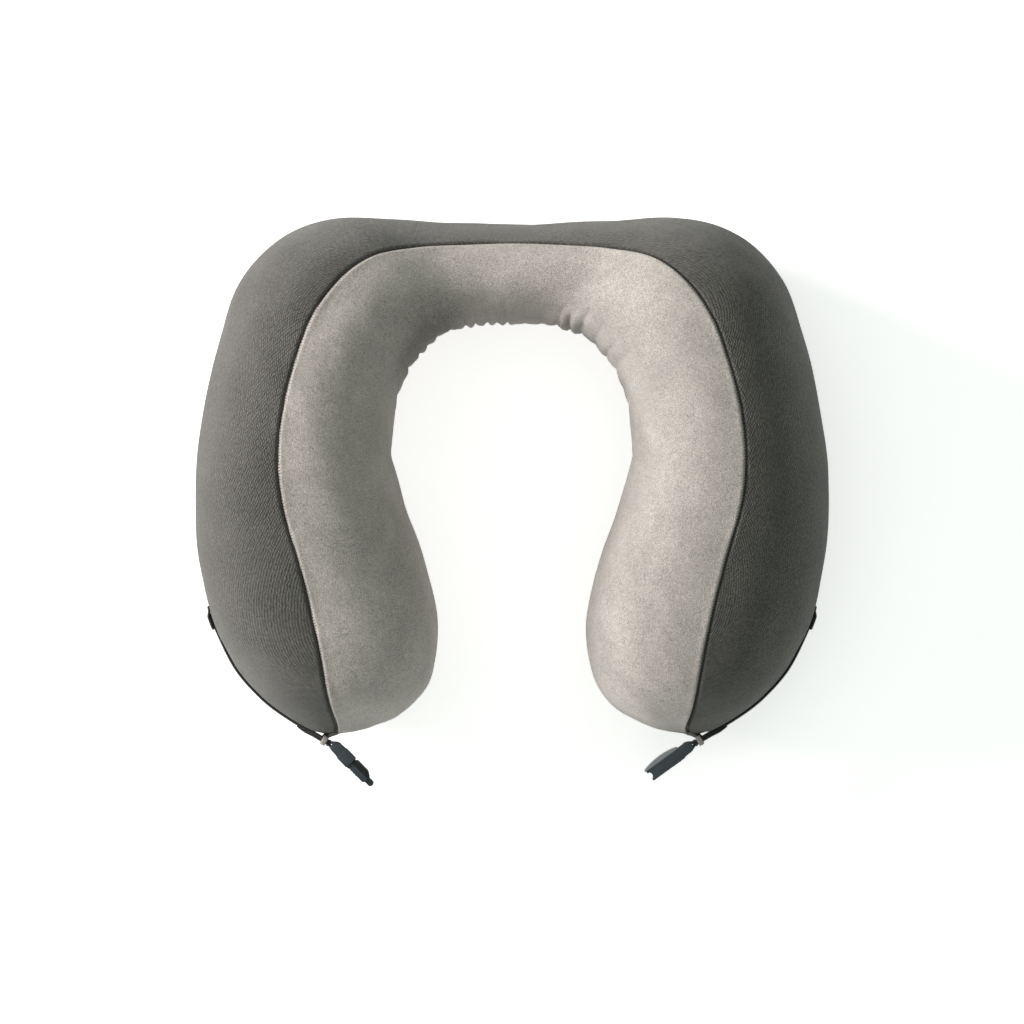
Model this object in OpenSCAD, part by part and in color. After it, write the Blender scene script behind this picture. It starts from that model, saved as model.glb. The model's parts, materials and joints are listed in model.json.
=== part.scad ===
// U-shaped memory foam neck pillow with a removable two-panel cover, elastic front straps and a clasp.
// It lies on its flat underside: +Z up, the back of the neck at +Y, the open ends of the arms at -Y.
// The origin is on the rest plane, under the middle of the whole object's box.

/* [Pillow] */
// Overall width across the arms
pillow_w = 272; // [240:1:300]
// Depth of the body, from the back to the pointed ends
pillow_d = 225; // [205:1:245]
// Height of the top at the back of the neck
back_h = 97; // [85:1:105]
// Height of the top at the side humps
side_h = 126; // [115:1:140]
// Height of the top near the front ends
front_h = 104; // [95:1:115]
// How square the upper half of the section is (2 is an ellipse)
top_round = 2.4; // [2.2:0.1:2.8]
// How square the lower half of the section is
base_round = 2.6; // [2.4:0.1:3]
// Depth by which the underside is flattened where it rests
base_flat = 3; // [2:0.5:4]

/* [Covers] */
// Thickness of the two cover panels
cover_t = 2.2; // [1.6:0.1:2.6]
// Thickness of the inner sleeve
liner_t = 0.7; // [0.5:0.1:0.9]
// Width of the seam allowance between the panels
seam_w = 1.6; // [1.2:0.1:2]

/* [Zip] */
// Length of the zip opening
zip_l = 130; // [100:1:140]
// Height of the zip's middle above the rest plane
zip_z = 14; // [13:0.5:18]
// Height of the zip opening in the outer panel
zip_h = 13; // [12:0.5:14]
// How far the ends of the zip stand behind its middle
zip_bow = 1.8; // [1.2:0.1:3]
// How far the zip runs in under the surface of the outer panel
zip_sink = 0.5; // [0.3:0.1:0.8]

/* [Straps] */
// Width of the elastic strap
strap_w = 15; // [12:1:18]
// Thickness of the elastic strap
strap_t = 1.2; // [1:0.1:1.3]
// How far each strap stretches
strap_stretch = 35; // [20:1:40]

/* [Clasp] */
// Length of the tongue half
tongue_l = 24; // [22:0.5:26]
// Length of the receiver half
receiver_l = 22; // [20:0.5:24]
// Width of both halves
clasp_w = 19; // [18:0.5:22]
// Angle of the tongue half below the X axis
tongue_angle = 46; // [30:1:60]
// Angle of the receiver half below the X axis
receiver_angle = 36; // [25:1:60]

/* [Hidden] */

// ---------------------------------------------------------------- the body's plan and heights
// One row per station from the middle of the back to the end of the right arm: outer x, outer y, inner x,
// inner y, base z, top z, share of the way from the outer to the inner edge at which the upper seam runs.
// The plan is drawn 272 wide and 225 deep, and scaled to the driving sizes.
plan_w = 272;
plan_d = 225;
STATIONS = [
  [  0,  118,    0,    76,    0, back_h,                 0.20],
  [ 24,  118.5, 10,    76,    0, back_h + 0.5,           0.22],
  [ 50,  120,   20,    74.5,  0, back_h + 4,             0.27],
  [ 76,  120.5, 30,    71,    0, (back_h + side_h) / 2,  0.34],
  [ 99,  112,   38,    64.5,  0, side_h - 6,             0.40],
  [116,  94.5,  45,    55,    0, side_h - 1,             0.43],
  [125,  70,    50,    42,    0, side_h,                 0.43],
  [131,  45,    52,    27,    0, side_h,                 0.42],
  [135,  20,    51,    12,    0, side_h - 1,             0.42],
  [136, -4,     47,   -3,     0, side_h - 4,             0.43],
  [134, -28,    39,   -24,    0, side_h - 9,             0.45],
  [129, -51,    33,   -45,    0, front_h + 6,            0.45],
  [119, -71,    32.5, -64,    0, front_h,                0.43],
  [107, -85,    36,   -79,    3, front_h - 7,            0.39],
  [ 95, -94,    46,   -91,   13, front_h - 20,           0.37],
  [ 85, -99.5,  62,   -98.5, 28, front_h - 36,           0.42]
];
LAST = len(STATIONS) - 1;
TIP_S = LAST + 1;
tip = [77.5, -101];
tip_z = 48;
tip_r = 3.4;
// Moves the plan so that the origin lies under the middle of the object's box
centre_y = 1.8;

// A row of the table at any place between two stations, by a Catmull-Rom curve through them. The row
// before the first is its mirror image, so the back is smooth.
tip_row = [tip[0] + tip_r, tip[1], tip[0] - tip_r, tip[1], tip_z - tip_r, tip_z + tip_r, 0.5];
function mirrored(r) = [-r[0], r[1], -r[2], r[3], r[4], r[5], r[6]];
function station(i) = i < 0 ? mirrored(STATIONS[-i]) : i > LAST ? tip_row : STATIONS[i];
function catmull(a, b, c, d, u) =
  0.5 * (2 * b + (c - a) * u + (2 * a - 5 * b + 4 * c - d) * u * u + (3 * b - a - 3 * c + d) * u * u * u);
function row_at(s) =
  let (i = min(floor(s), LAST))
  catmull(station(i - 1), station(i), station(i + 1), station(i + 2), s - i);

// The section at s, which runs from -TIP_S at the left tip to TIP_S at the right tip:
// outer point, inner point, base z, top z, seam share.
function plan_point(x, y, side) = [side * x * pillow_w / plan_w, y * pillow_d / plan_d + centre_y];
function section(s) =
  let (r = row_at(abs(s)), side = s < 0 ? -1 : 1)
  [plan_point(r[0], r[1], side), plan_point(r[2], r[3], side), r[4], r[5], r[6]];

// A point of the outer surface. a is the angle round the section: 0 at the outside, 90 on top, 180 at the
// neck. The lower half is drawn base_flat too deep, and skin() flattens what is below the rest plane.
function signed_pow(v, p) = sign(v) * pow(abs(v), p);
function half_height(q, upper) = (q[3] - q[2]) / 2 + (upper ? 0 : base_flat);
function raw_point(s, a) =
  let (q = section(s), upper = sin(a) >= 0, n = upper ? top_round : base_round,
       p = (q[0] + q[1]) / 2 + (q[0] - q[1]) / 2 * signed_pow(cos(a), 2 / n))
  [p[0], p[1], (q[2] + q[3]) / 2 + half_height(q, upper) * signed_pow(sin(a), 2 / n)];
function unit(v) = v / norm(v);
function raw_normal(s, a) =
  unit(cross(raw_point(s - 0.02, a) - raw_point(s + 0.02, a), raw_point(s, a + 1) - raw_point(s, a - 1)));

// The same point pushed inwards by depth, with the underside flattened.
function skin(s, a, depth) =
  let (p = raw_point(s, a), q = p - depth * raw_normal(s, a))
  p[2] < 0 ? [p[0], p[1], depth] : [q[0], q[1], max(q[2], depth)];

// Angles round the section at s: of the seams, from their share of the section's width, and of a height z.
function share_angle(s, n) =
  let (k = 1 - 2 * section(s)[4])
  acos(sign(k) * pow(abs(k), n / 2));
function upper_seam(s) = share_angle(s, top_round);
function lower_seam(s) = -share_angle(s, base_round);
function angle_at_height(s, z) =
  let (q = section(s), ratio = ((q[2] + q[3]) / 2 - z) / half_height(q, false))
  -asin(pow(ratio, base_round / 2));
function degrees_per_mm(s, a) = 2 / norm(raw_point(s, a + 1) - raw_point(s, a - 1));

// ---------------------------------------------------------------- stations and columns of the soft solids
zip_cells = 4;
arm_cells = 17;
function zip_end_s() = lookup(zip_l / 2, [for (i = [0:4]) [STATIONS[i][0] * pillow_w / plan_w, i]]);
half_stops = concat(
  [for (i = [0:zip_cells - 1]) zip_end_s() * i / zip_cells],
  [for (i = [0:arm_cells]) zip_end_s() + (TIP_S - zip_end_s()) * i / arm_cells]
);
function both_ways(list) = concat([for (i = [len(list) - 1:-1:1]) -list[i]], list);
stops = both_ways(half_stops);
// The sealed inner pieces stop short of the tips, where the section is too small to hold them. They share
// their stations and angles, so that one lies evenly inside the other.
inner_end_s = TIP_S - 1;
inner_half_stops = [for (s = half_stops) s * inner_end_s / TIP_S];

// Evenly spaced values from a to b, without b
function spread(a, b, n) = [for (i = [0:n - 1]) a + (b - a) * i / n];
seam_gap = seam_w / 2 + 0.55;
zip_low_z = zip_z - zip_h / 2;
zip_top_z = zip_z + zip_h / 2;
zip_low_col = 4;
zip_top_col = 6;
outer_top_cols = 6;
neck_cols = 12;
liner_cols = 10;
function outer_columns(s) =
  let (lo = lower_seam(s), hi = upper_seam(s), z_s = min(abs(s), 6),
       z1 = angle_at_height(z_s, zip_low_z), z2 = angle_at_height(z_s, zip_top_z),
       a0 = lo + seam_gap * degrees_per_mm(s, lo), a1 = hi - seam_gap * degrees_per_mm(s, hi))
  concat(spread(a0, z1, zip_low_col),
         spread(z1, z2, zip_top_col - zip_low_col),
         spread(z2, a1, outer_top_cols), [a1]);
function neck_columns(s) =
  let (lo = lower_seam(s) + 360, hi = upper_seam(s),
       a0 = hi + seam_gap * degrees_per_mm(s, hi), a1 = lo - seam_gap * degrees_per_mm(s, lo))
  concat(spread(a0, a1, neck_cols), [a1]);

// A sheet of even thickness between two depths, as one closed solid. cols(s) gives its angles at a
// station, and the cells that hole(i, j) names are left open.
module sheet(list, cols, depth_out, depth_in, hole) {
  n = len(list) - 1;
  m = len(cols(list[0])) - 1;
  rows = [for (s = list) cols(s)];
  row = m + 1;
  layer = (n + 1) * row;
  points = [for (d = [depth_out, depth_in]) for (i = [0:n]) for (a = rows[i]) skin(list[i], a, d)];
  function whole(i, j) = i >= 0 && i < n && j >= 0 && j < m && !hole(i, j);
  function quad(a, b, c, d) = [[a, c, b], [a, d, c]];
  function wall(p, q) = quad(p, q, q + layer, p + layer);
  faces = [for (i = [0:n - 1]) for (j = [0:m - 1]) if (whole(i, j))
    let (a = i * row + j, b = a + row, c = b + 1, d = a + 1)
    each concat(
      quad(a, d, c, b),
      quad(b + layer, c + layer, d + layer, a + layer),
      whole(i - 1, j) ? [] : wall(d, a),
      whole(i + 1, j) ? [] : wall(b, c),
      whole(i, j - 1) ? [] : wall(a, b),
      whole(i, j + 1) ? [] : wall(c, d)
    )];
  polyhedron(points = points, faces = faces, convexity = 8);
}
no_hole = function(i, j) false;

// A solid bounded by the surface at one depth, closed by a flat cap at each end
module filled(list, angles, depth) {
  n = len(list) - 1;
  m = len(angles);
  points = [for (s = list) for (a = angles) skin(s, a, depth)];
  sides = [for (i = [0:n - 1]) for (j = [0:m - 1])
    let (a = i * m + j, d = i * m + (j + 1) % m, b = a + m, c = d + m)
    each [[a, c, d], [a, b, c]]];
  start = [for (j = [1:m - 2]) [0, j, j + 1]];
  end = [for (j = [1:m - 2]) [n * m, n * m + j + 1, n * m + j]];
  polyhedron(points = points, faces = concat(sides, start, end), convexity = 8);
}

liner_gap = 1.4;
core_gap = 0.5;
liner_depth = cover_t + liner_gap;
core_depth = liner_depth + liner_t + core_gap;
// The sleeve is open at the tips, and split along its side seams
liner_split = 2;
function liner_angles(first) =
  [for (k = [0:liner_cols]) first + liner_split + k * (180 - 2 * liner_split) / liner_cols];

module foam_core() {
  short_of_liner = [for (i = [0:len(inner_half_stops) - 2]) inner_half_stops[i]];
  color("ivory")
    filled(both_ways(short_of_liner), concat(liner_angles(0), liner_angles(180)), core_depth);
}

module liner_half(first) {
  color("white")
    sheet(both_ways(inner_half_stops), function(s) liner_angles(first),
          liner_depth, liner_depth + liner_t, no_hole);
}
module liner_upper() {
  liner_half(0);
}
module liner_lower() {
  liner_half(180);
}

module neck_panel() {
  color("tan")
    sheet(stops, function(s) neck_columns(s), 0, cover_t, no_hole);
}

module outer_panel() {
  middle = len(half_stops) - 1;
  color("dimgray")
    sheet(stops, function(s) outer_columns(s), 0, cover_t,
          function(i, j) abs(i + 0.5 - middle) < zip_cells && j >= zip_low_col && j < zip_top_col);
}

// The seam allowance, standing on edge between the two panels
module seam(at) {
  half = seam_w / 2;
  color("black")
    sheet(stops, function(s) let (a = at(s), w = half * degrees_per_mm(s, a)) [a - w, a + w],
          0.5, cover_t, no_hole);
}
module seam_upper() {
  seam(function(s) upper_seam(s));
}
module seam_lower() {
  seam(function(s) lower_seam(s));
}

// ---------------------------------------------------------------- zip
// The zip lies low on the back, on an upright cone about an axis far behind it, so the slider keeps to an
// arc. Its section is drawn with x up the wall and y out of it, from the wall's surface at the middle of
// the back.
zip_angle = angle_at_height(0, zip_z);
zip_middle = raw_point(0, zip_angle);
zip_tilt = atan2(-raw_normal(0, zip_angle)[2], raw_normal(0, zip_angle)[1]);
zip_half = raw_point(zip_end_s(), angle_at_height(zip_end_s(), zip_z))[0] - 1;
zip_r = zip_half * zip_half / 2 / zip_bow + zip_bow / 2;
zip_axis_y = zip_middle[1] + zip_r;
function arc_angle(length) = length / zip_r * 180 / PI;

module on_zip(at) {
  translate([0, zip_axis_y, 0]) rotate([0, 0, -90 + arc_angle(at)]) children();
}
// Sweeps a section along the zip from one place to another, both measured from the middle of the back
module along_zip(from, to) {
  on_zip(from)
    rotate_extrude(angle = arc_angle(to - from), $fn = 600)
      translate([zip_r, zip_z]) rotate(90 + zip_tilt) children();
}
module band(x0, x1, y0, y1) {
  translate([x0, y0]) square([x1 - x0, y1 - y0]);
}

tape_t = 0.6;
tape_in = 0.9;
tape_out = zip_h / 2 - 0.4;
tape_top = -zip_sink;
coil_in = 0.7;
coil_out = 2.3;
coil_t = 1.5;
coil_top = tape_top + 0.05 + coil_t;
tape_half_l = zip_half - 1.5;
stop_l = 2.5;
coil_end = zip_half - stop_l - 1;
module zip_tape(side) {
  color("dimgray")
    along_zip(-tape_half_l, tape_half_l)
      if (side > 0) band(tape_in, tape_out, tape_top - tape_t, tape_top);
      else band(-tape_out, -tape_in, tape_top - tape_t, tape_top);
}
module zip_tape_upper() {
  zip_tape(1);
}
module zip_tape_lower() {
  zip_tape(-1);
}
module zip_coil(side) {
  color("black")
    along_zip(-coil_end, coil_end)
      if (side > 0) band(coil_in, coil_out, coil_top - coil_t, coil_top);
      else band(-coil_out, -coil_in, coil_top - coil_t, coil_top);
}
module zip_coil_upper() {
  zip_coil(1);
}
module zip_coil_lower() {
  zip_coil(-1);
}
// One bottom stop across both coils, and a top stop on each side
module zip_stops() {
  color("black") {
    along_zip(-coil_end - 0.2 - stop_l, -coil_end - 0.2)
      band(-coil_out, coil_out, coil_top - coil_t, coil_top);
    along_zip(coil_end + 0.2, coil_end + 0.2 + stop_l)
      union() {
        band(coil_in, coil_out, coil_top - coil_t, coil_top);
        band(-coil_out, -coil_in, coil_top - coil_t, coil_top);
      }
  }
}

slider_l = 9;
slider_half = 3.6;
slider_gap = 0.3;
plate_t = 0.9;
plate_top = coil_top + slider_gap + plate_t;
back_top = tape_top - tape_t - slider_gap;
back_t = 0.7;
bar_up = 0.9;
pull_at = coil_end - slider_l / 2 - 0.3;
zip_travel = 2 * pull_at;
module zip_slider() {
  wall = 0.9;
  post = 0.35;
  bridge_l = 5.2;
  bridge_w = 1.8;
  bridge_t = 1.85;
  color("darkslategray")
    difference() {
      union() {
        along_zip(pull_at - slider_l / 2, pull_at + slider_l / 2)
          union() {
            band(-slider_half, slider_half, plate_top - plate_t, plate_top);
            band(slider_half - wall, slider_half, tape_top + slider_gap, plate_top - plate_t / 2);
            band(-slider_half, wall - slider_half, tape_top + slider_gap, plate_top - plate_t / 2);
          }
        along_zip(pull_at - slider_l / 2 + 1, pull_at + slider_l / 2 - 0.5)
          band(-2.6, 2.6, back_top - back_t, back_top);
        along_zip(pull_at + slider_l / 2 - 4, pull_at + slider_l / 2 - 1.5)
          band(-post, post, back_top - back_t / 2, plate_top - plate_t / 2);
        along_zip(pull_at - bridge_l / 2, pull_at + bridge_l / 2)
          band(-bridge_w / 2, bridge_w / 2, plate_top - plate_t / 2, plate_top + bridge_t);
      }
      at_pull() cylinder(r = 0.65, h = 4, center = true, $fn = 24);
    }
}
// Frame of the pull's hinge: z along the hinge, x back along the zip, y out of the wall
module at_pull() {
  on_zip(pull_at)
    translate([zip_r, 0, zip_z])
      rotate([0, -zip_tilt, 0])
        translate([-plate_top - bar_up, 0, 0])
          rotate([0, 0, -90]) mirror([0, 1, 0]) children();
}
module zip_pull() {
  tab_l = 16;
  tab_w = 4.6;
  tab_t = 0.9;
  eye_l = 5;
  eye_w = 2.6;
  color("darkslategray")
    at_pull() {
      cylinder(r = 0.5, h = tab_w - 0.4, center = true, $fn = 24);
      difference() {
        translate([0, -tab_t / 2, -tab_w / 2]) cube([tab_l, tab_t, tab_w]);
        translate([-1, -tab_t, -eye_w / 2]) cube([1 + eye_l, 2 * tab_t, eye_w]);
      }
    }
}

// ---------------------------------------------------------------- straps, keepers and clasp
// These are drawn for the right arm, and mirrored for the left one
strap_z = tip_z;
strap_gap = 0.5;
strap_from_s = 10.97;
strap_to_s = 15;
pivot = plan_point(75.5, -107, 1);
bar_r = 1.2;
loop_in_r = bar_r + 0.15;
loop_out_r = loop_in_r + strap_t;

// A place beside the outer edge, off millimetres out from it
function beside(s, off) =
  let (t = unit(section(s + 0.02)[0] - section(s - 0.02)[0]))
  section(s)[0] + off * [-t[1], t[0]];
// The last stretch is folded double, so it stands one thickness further out
strap_leaves = beside(strap_to_s, strap_gap + strap_t);
strap_dir = unit(pivot - strap_leaves);
exit_angle = atan2(strap_dir[1], strap_dir[0]);
strap_run = [for (i = [0:12]) let (s = strap_from_s + (strap_to_s - strap_from_s) * i / 12,
             off = strap_gap + strap_t / 2 * (i < 9 ? 1 : 1 + (i - 8) / 4)) [s, off]];

module upright(z_height) {
  translate([0, 0, strap_z - z_height / 2]) linear_extrude(z_height) children();
}
module ribbon(run, half) {
  polygon(concat([for (p = run) beside(p[0], p[1] + half)],
                 [for (i = [len(run) - 1:-1:0]) beside(run[i][0], run[i][1] - half)]));
}
// Frame of the pivot, with x along the strap's exit
module at_pivot(angle) {
  translate([pivot[0], pivot[1], strap_z]) rotate([0, 0, angle]) children();
}

module strap() {
  doubled = norm(pivot - strap_leaves);
  color("black")
    difference() {
      union() {
        upright(strap_w) ribbon(strap_run, strap_t / 2);
        at_pivot(exit_angle)
          translate([-doubled, -strap_t, -strap_w / 2]) cube([doubled, 2 * strap_t, strap_w]);
        at_pivot(0) cylinder(r = loop_out_r, h = strap_w, center = true, $fn = 48);
      }
      at_pivot(0) cylinder(r = loop_in_r, h = strap_w + 2, center = true, $fn = 48);
    }
}
module strap_right() {
  strap();
}
module strap_left() {
  mirror([1, 0, 0]) strap();
}

module strap_anchor() {
  tab_t = 0.9;
  off = strap_gap + strap_t + 0.15 + tab_t / 2;
  color("black")
    upright(strap_w + 2) ribbon([for (i = [0:3]) [strap_from_s - 0.1 + i * 0.11, off]], tab_t / 2);
}
module strap_anchor_right() {
  strap_anchor();
}
module strap_anchor_left() {
  mirror([1, 0, 0]) strap_anchor();
}

stitch_t = 0.3;
module strap_stitch() {
  color("dimgray")
    for (side = [-1, 1])
      at_pivot(exit_angle)
        translate([-loop_out_r - 1.4, side * (strap_t + stitch_t / 2), 0])
          cube([1, stitch_t, strap_w - 3], center = true);
}
module strap_stitch_right() {
  strap_stitch();
}
module strap_stitch_left() {
  mirror([1, 0, 0]) strap_stitch();
}

// A small band round the doubled strap, with a tail sewn into the pointed end of the arm
keeper_l = 3;
keeper_t = 0.7;
keeper_gap = 0.35;
keeper_from = 4.6;
module tip_keeper() {
  inner = strap_t + keeper_gap;
  outer = inner + keeper_t;
  hole = plan_point(tip[0], tip[1], 1);
  below = hole + [0, -1.1];
  hold = pivot - strap_dir * (keeper_from + keeper_l / 2)
         + [strap_dir[1], -strap_dir[0]] * (inner + keeper_t / 2);
  color("wheat") {
    at_pivot(exit_angle)
      translate([-keeper_from - keeper_l / 2, 0, 0])
        difference() {
          cube([keeper_l, 2 * outer, strap_w + 2 * keeper_gap + 2 * keeper_t], center = true);
          cube([keeper_l + 1, 2 * inner, strap_w + 2 * keeper_gap], center = true);
        }
    for (ends = [[hole + [0, 1], below], [below, hold]])
      upright(1.4)
        hull() {
          translate(ends[0]) circle(r = 0.7, $fn = 24);
          translate(ends[1]) circle(r = 0.7, $fn = 24);
        }
  }
}
module tip_keeper_right() {
  tip_keeper();
}
module tip_keeper_left() {
  mirror([1, 0, 0]) tip_keeper();
}

// Each half is drawn with x away from the strap, y towards the outside of the pillow, and its bar on the
// z axis
cheek_t = 1.5;
cheek_r = 2.4;
body_from = loop_out_r + 0.4;
outer_y = 2.9;
magnet_r = 4.5;
magnet_t = 2;
magnet_gap = 0.15;
cap_gap = 0.1;
module slab(x0, x1, y0, y1, width) {
  translate([x0, y0, -width / 2]) cube([x1 - x0, y1 - y0, width]);
}
// The loop bar between two cheeks, up to the body of a clasp half whose cap side is at y0
module bar_and_cheeks(y0) {
  cylinder(r = bar_r, h = clasp_w - cheek_t, center = true, $fn = 32);
  for (side = [-1, 1])
    translate([0, 0, side * (clasp_w - cheek_t) / 2]) {
      cylinder(r = cheek_r, h = cheek_t, center = true, $fn = 32);
      slab(0, body_from + 1, y0, cheek_r, cheek_t);
    }
}
module magnet_disc(x, y_mouth, extra) {
  translate([x, y_mouth, 0])
    rotate([-90, 0, 0]) cylinder(r = magnet_r + extra, h = magnet_t + 2 * extra, $fn = 48);
}

tongue_y0 = -1.6;
tongue_magnet_x = 12.5;
tongue_step = 9;
tongue_neck = tongue_l - 5;
module clasp_left(angle) {
  mirror([1, 0, 0]) at_pivot(180 + angle) children();
}
module clasp_left_housing() {
  color("darkslategray")
    clasp_left(tongue_angle)
      difference() {
        union() {
          bar_and_cheeks(tongue_y0);
          slab(body_from, tongue_step, tongue_y0, outer_y, clasp_w);
          slab(tongue_step - 1, tongue_neck, tongue_y0, outer_y - 0.6, clasp_w - 2);
          slab(tongue_neck - 1, tongue_l - 1.5, tongue_y0 + 0.4, outer_y - 1.3, clasp_w - 6);
        }
        magnet_disc(tongue_magnet_x, tongue_y0 - magnet_gap, magnet_gap);
      }
}
module clasp_left_magnet() {
  color("silver") clasp_left(tongue_angle) magnet_disc(tongue_magnet_x, tongue_y0, 0);
}
module clasp_left_cap() {
  color("black")
    clasp_left(tongue_angle)
      slab(body_from + 0.6, tongue_neck - 0.5, tongue_y0 - cap_gap - 1.2, tongue_y0 - cap_gap, clasp_w - 1);
}

receiver_y0 = -2.3;
receiver_magnet_x = 8.4;
receiver_end = receiver_l - 1.5;
channel_from = 13.6;
module clasp_right(angle) {
  at_pivot(180 + angle) children();
}
module clasp_right_housing() {
  color("darkslategray")
    clasp_right(receiver_angle)
      difference() {
        union() {
          bar_and_cheeks(receiver_y0);
          slab(body_from, receiver_end, receiver_y0, outer_y, clasp_w);
        }
        magnet_disc(receiver_magnet_x, receiver_y0 - magnet_gap, magnet_gap);
        slab(channel_from, receiver_end + 1, -1.1, 1.9, clasp_w - 5);
        translate([receiver_end + 0.6, 0.3, 0]) cylinder(r = 2.1, h = clasp_w + 1, center = true, $fn = 32);
      }
}
module clasp_right_magnet() {
  color("silver") clasp_right(receiver_angle) magnet_disc(receiver_magnet_x, receiver_y0, 0);
}
// A strip that is bowed outwards along its length
module clasp_right_cap() {
  from = body_from + 0.4;
  to = receiver_end + 0.5;
  top = receiver_y0 - cap_gap;
  bow = [for (i = [0:8]) [from + (to - from) * i / 8, top - 0.9 - 1.0 * sin(180 * i / 8)]];
  color("gray")
    clasp_right(receiver_angle)
      translate([0, 0, -clasp_w / 2])
        linear_extrude(clasp_w)
          polygon(concat([[from, top]], bow, [[to, top]]));
}

foam_core();
liner_upper();
liner_lower();
neck_panel();
outer_panel();
seam_upper();
seam_lower();
zip_tape_upper();
zip_tape_lower();
zip_coil_upper();
zip_coil_lower();
zip_stops();
zip_slider();
zip_pull();
strap_left();
strap_right();
strap_anchor_left();
strap_anchor_right();
strap_stitch_left();
strap_stitch_right();
tip_keeper_left();
tip_keeper_right();
clasp_left_housing();
clasp_left_magnet();
clasp_left_cap();
clasp_right_housing();
clasp_right_magnet();
clasp_right_cap();
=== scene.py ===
"""The looks of a U-shaped neck pillow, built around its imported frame.

Everything is in metres, and MM turns millimetres into them. The clasp is at the front, towards -y.
"""

import json
import math

import bmesh
import bpy
import numpy as np
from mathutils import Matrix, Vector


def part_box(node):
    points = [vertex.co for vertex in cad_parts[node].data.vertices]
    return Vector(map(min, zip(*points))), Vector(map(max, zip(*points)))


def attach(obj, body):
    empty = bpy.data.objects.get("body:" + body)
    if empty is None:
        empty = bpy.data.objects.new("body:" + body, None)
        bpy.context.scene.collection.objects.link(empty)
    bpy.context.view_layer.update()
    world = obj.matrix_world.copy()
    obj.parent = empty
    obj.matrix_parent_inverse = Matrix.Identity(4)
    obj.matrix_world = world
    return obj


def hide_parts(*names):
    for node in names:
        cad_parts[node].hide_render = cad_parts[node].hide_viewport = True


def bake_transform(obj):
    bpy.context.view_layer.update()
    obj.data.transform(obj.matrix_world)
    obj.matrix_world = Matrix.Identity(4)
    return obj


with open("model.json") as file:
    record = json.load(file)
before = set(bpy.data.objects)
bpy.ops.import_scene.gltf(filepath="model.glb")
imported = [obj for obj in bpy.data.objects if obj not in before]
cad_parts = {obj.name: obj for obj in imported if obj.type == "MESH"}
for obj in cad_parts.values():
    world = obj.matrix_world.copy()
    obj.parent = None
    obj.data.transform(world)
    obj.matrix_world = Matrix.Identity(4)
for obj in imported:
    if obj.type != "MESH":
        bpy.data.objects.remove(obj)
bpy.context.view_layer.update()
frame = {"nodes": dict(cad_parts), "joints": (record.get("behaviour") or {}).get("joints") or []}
MM = 0.001
TURN = 2 * math.pi
JOINTS = {j["name"]: j for j in frame["joints"]}

# ---------------------------------------------------------------- the body's plan and heights, in millimetres
BACK_H = 97
SIDE_H = 126
FRONT_H = 104
TOP_ROUND = 2.4
BASE_ROUND = 2.6
BASE_FLAT = 3
CENTRE_Y = 1.8
TIP = (77.5, -101)
TIP_Z = 48
TIP_R = 3.4
# From the middle of the back to the end of the right arm: outer x, outer y, inner x, inner y, base z, top z,
# and the seam's share of the way from the outer to the inner edge
STATIONS = [
    (0, 118, 0, 76, 0, BACK_H, 0.20),
    (24, 118.5, 10, 76, 0, BACK_H + 0.5, 0.22),
    (50, 120, 20, 74.5, 0, BACK_H + 4, 0.27),
    (76, 120.5, 30, 71, 0, (BACK_H + SIDE_H) / 2, 0.34),
    (99, 112, 38, 64.5, 0, SIDE_H - 6, 0.40),
    (116, 94.5, 45, 55, 0, SIDE_H - 1, 0.43),
    (125, 70, 50, 42, 0, SIDE_H, 0.43),
    (131, 45, 52, 27, 0, SIDE_H, 0.42),
    (135, 20, 51, 12, 0, SIDE_H - 1, 0.42),
    (136, -4, 47, -3, 0, SIDE_H - 4, 0.43),
    (134, -28, 39, -24, 0, SIDE_H - 9, 0.45),
    (129, -51, 33, -45, 0, FRONT_H + 6, 0.45),
    (119, -71, 32.5, -64, 0, FRONT_H, 0.43),
    (107, -85, 36, -79, 3, FRONT_H - 7, 0.39),
    (95, -94, 46, -91, 13, FRONT_H - 20, 0.37),
    (85, -99.5, 62, -98.5, 28, FRONT_H - 36, 0.42),
]
LAST = len(STATIONS) - 1
TIP_S = LAST + 1
# Steps in s and in the angle for differences that give a direction
S_STEP = 0.02
A_STEP = math.radians(1)


def table_of_rows():
    """The stations, with the mirror image of the second before them and the tip twice after them."""
    first = [v * side for v, side in zip(STATIONS[1], (-1, 1, -1, 1, 1, 1, 1))]
    end = (TIP[0] + TIP_R, TIP[1], TIP[0] - TIP_R, TIP[1], TIP_Z - TIP_R, TIP_Z + TIP_R, 0.5)
    return np.array([first, *STATIONS, end, end], float)


ROWS = table_of_rows()


def catmull_rom(a, b, c, d, u):
    """The curve's point at the share u of the way from b to c."""
    square, cube = 2 * a - 5 * b + 4 * c - d, 3 * b - a - 3 * c + d
    return 0.5 * (2 * b + (c - a) * u + square * u ** 2 + cube * u ** 3)


def section(s):
    """The row at s, from -TIP_S at the left tip to TIP_S at the right one, on a Catmull-Rom curve."""
    i = np.minimum(np.floor(np.abs(s)), LAST).astype(int)
    u = (np.abs(s) - i)[..., None]
    q = catmull_rom(*(ROWS[i + k] for k in range(4)), u)
    side = np.where(s < 0, -1.0, 1.0)
    q[..., 0] *= side
    q[..., 2] *= side
    q[..., 1] += CENTRE_Y
    q[..., 3] += CENTRE_Y
    return q


def signed_pow(v, p):
    return np.sign(v) * np.abs(v) ** p


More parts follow.
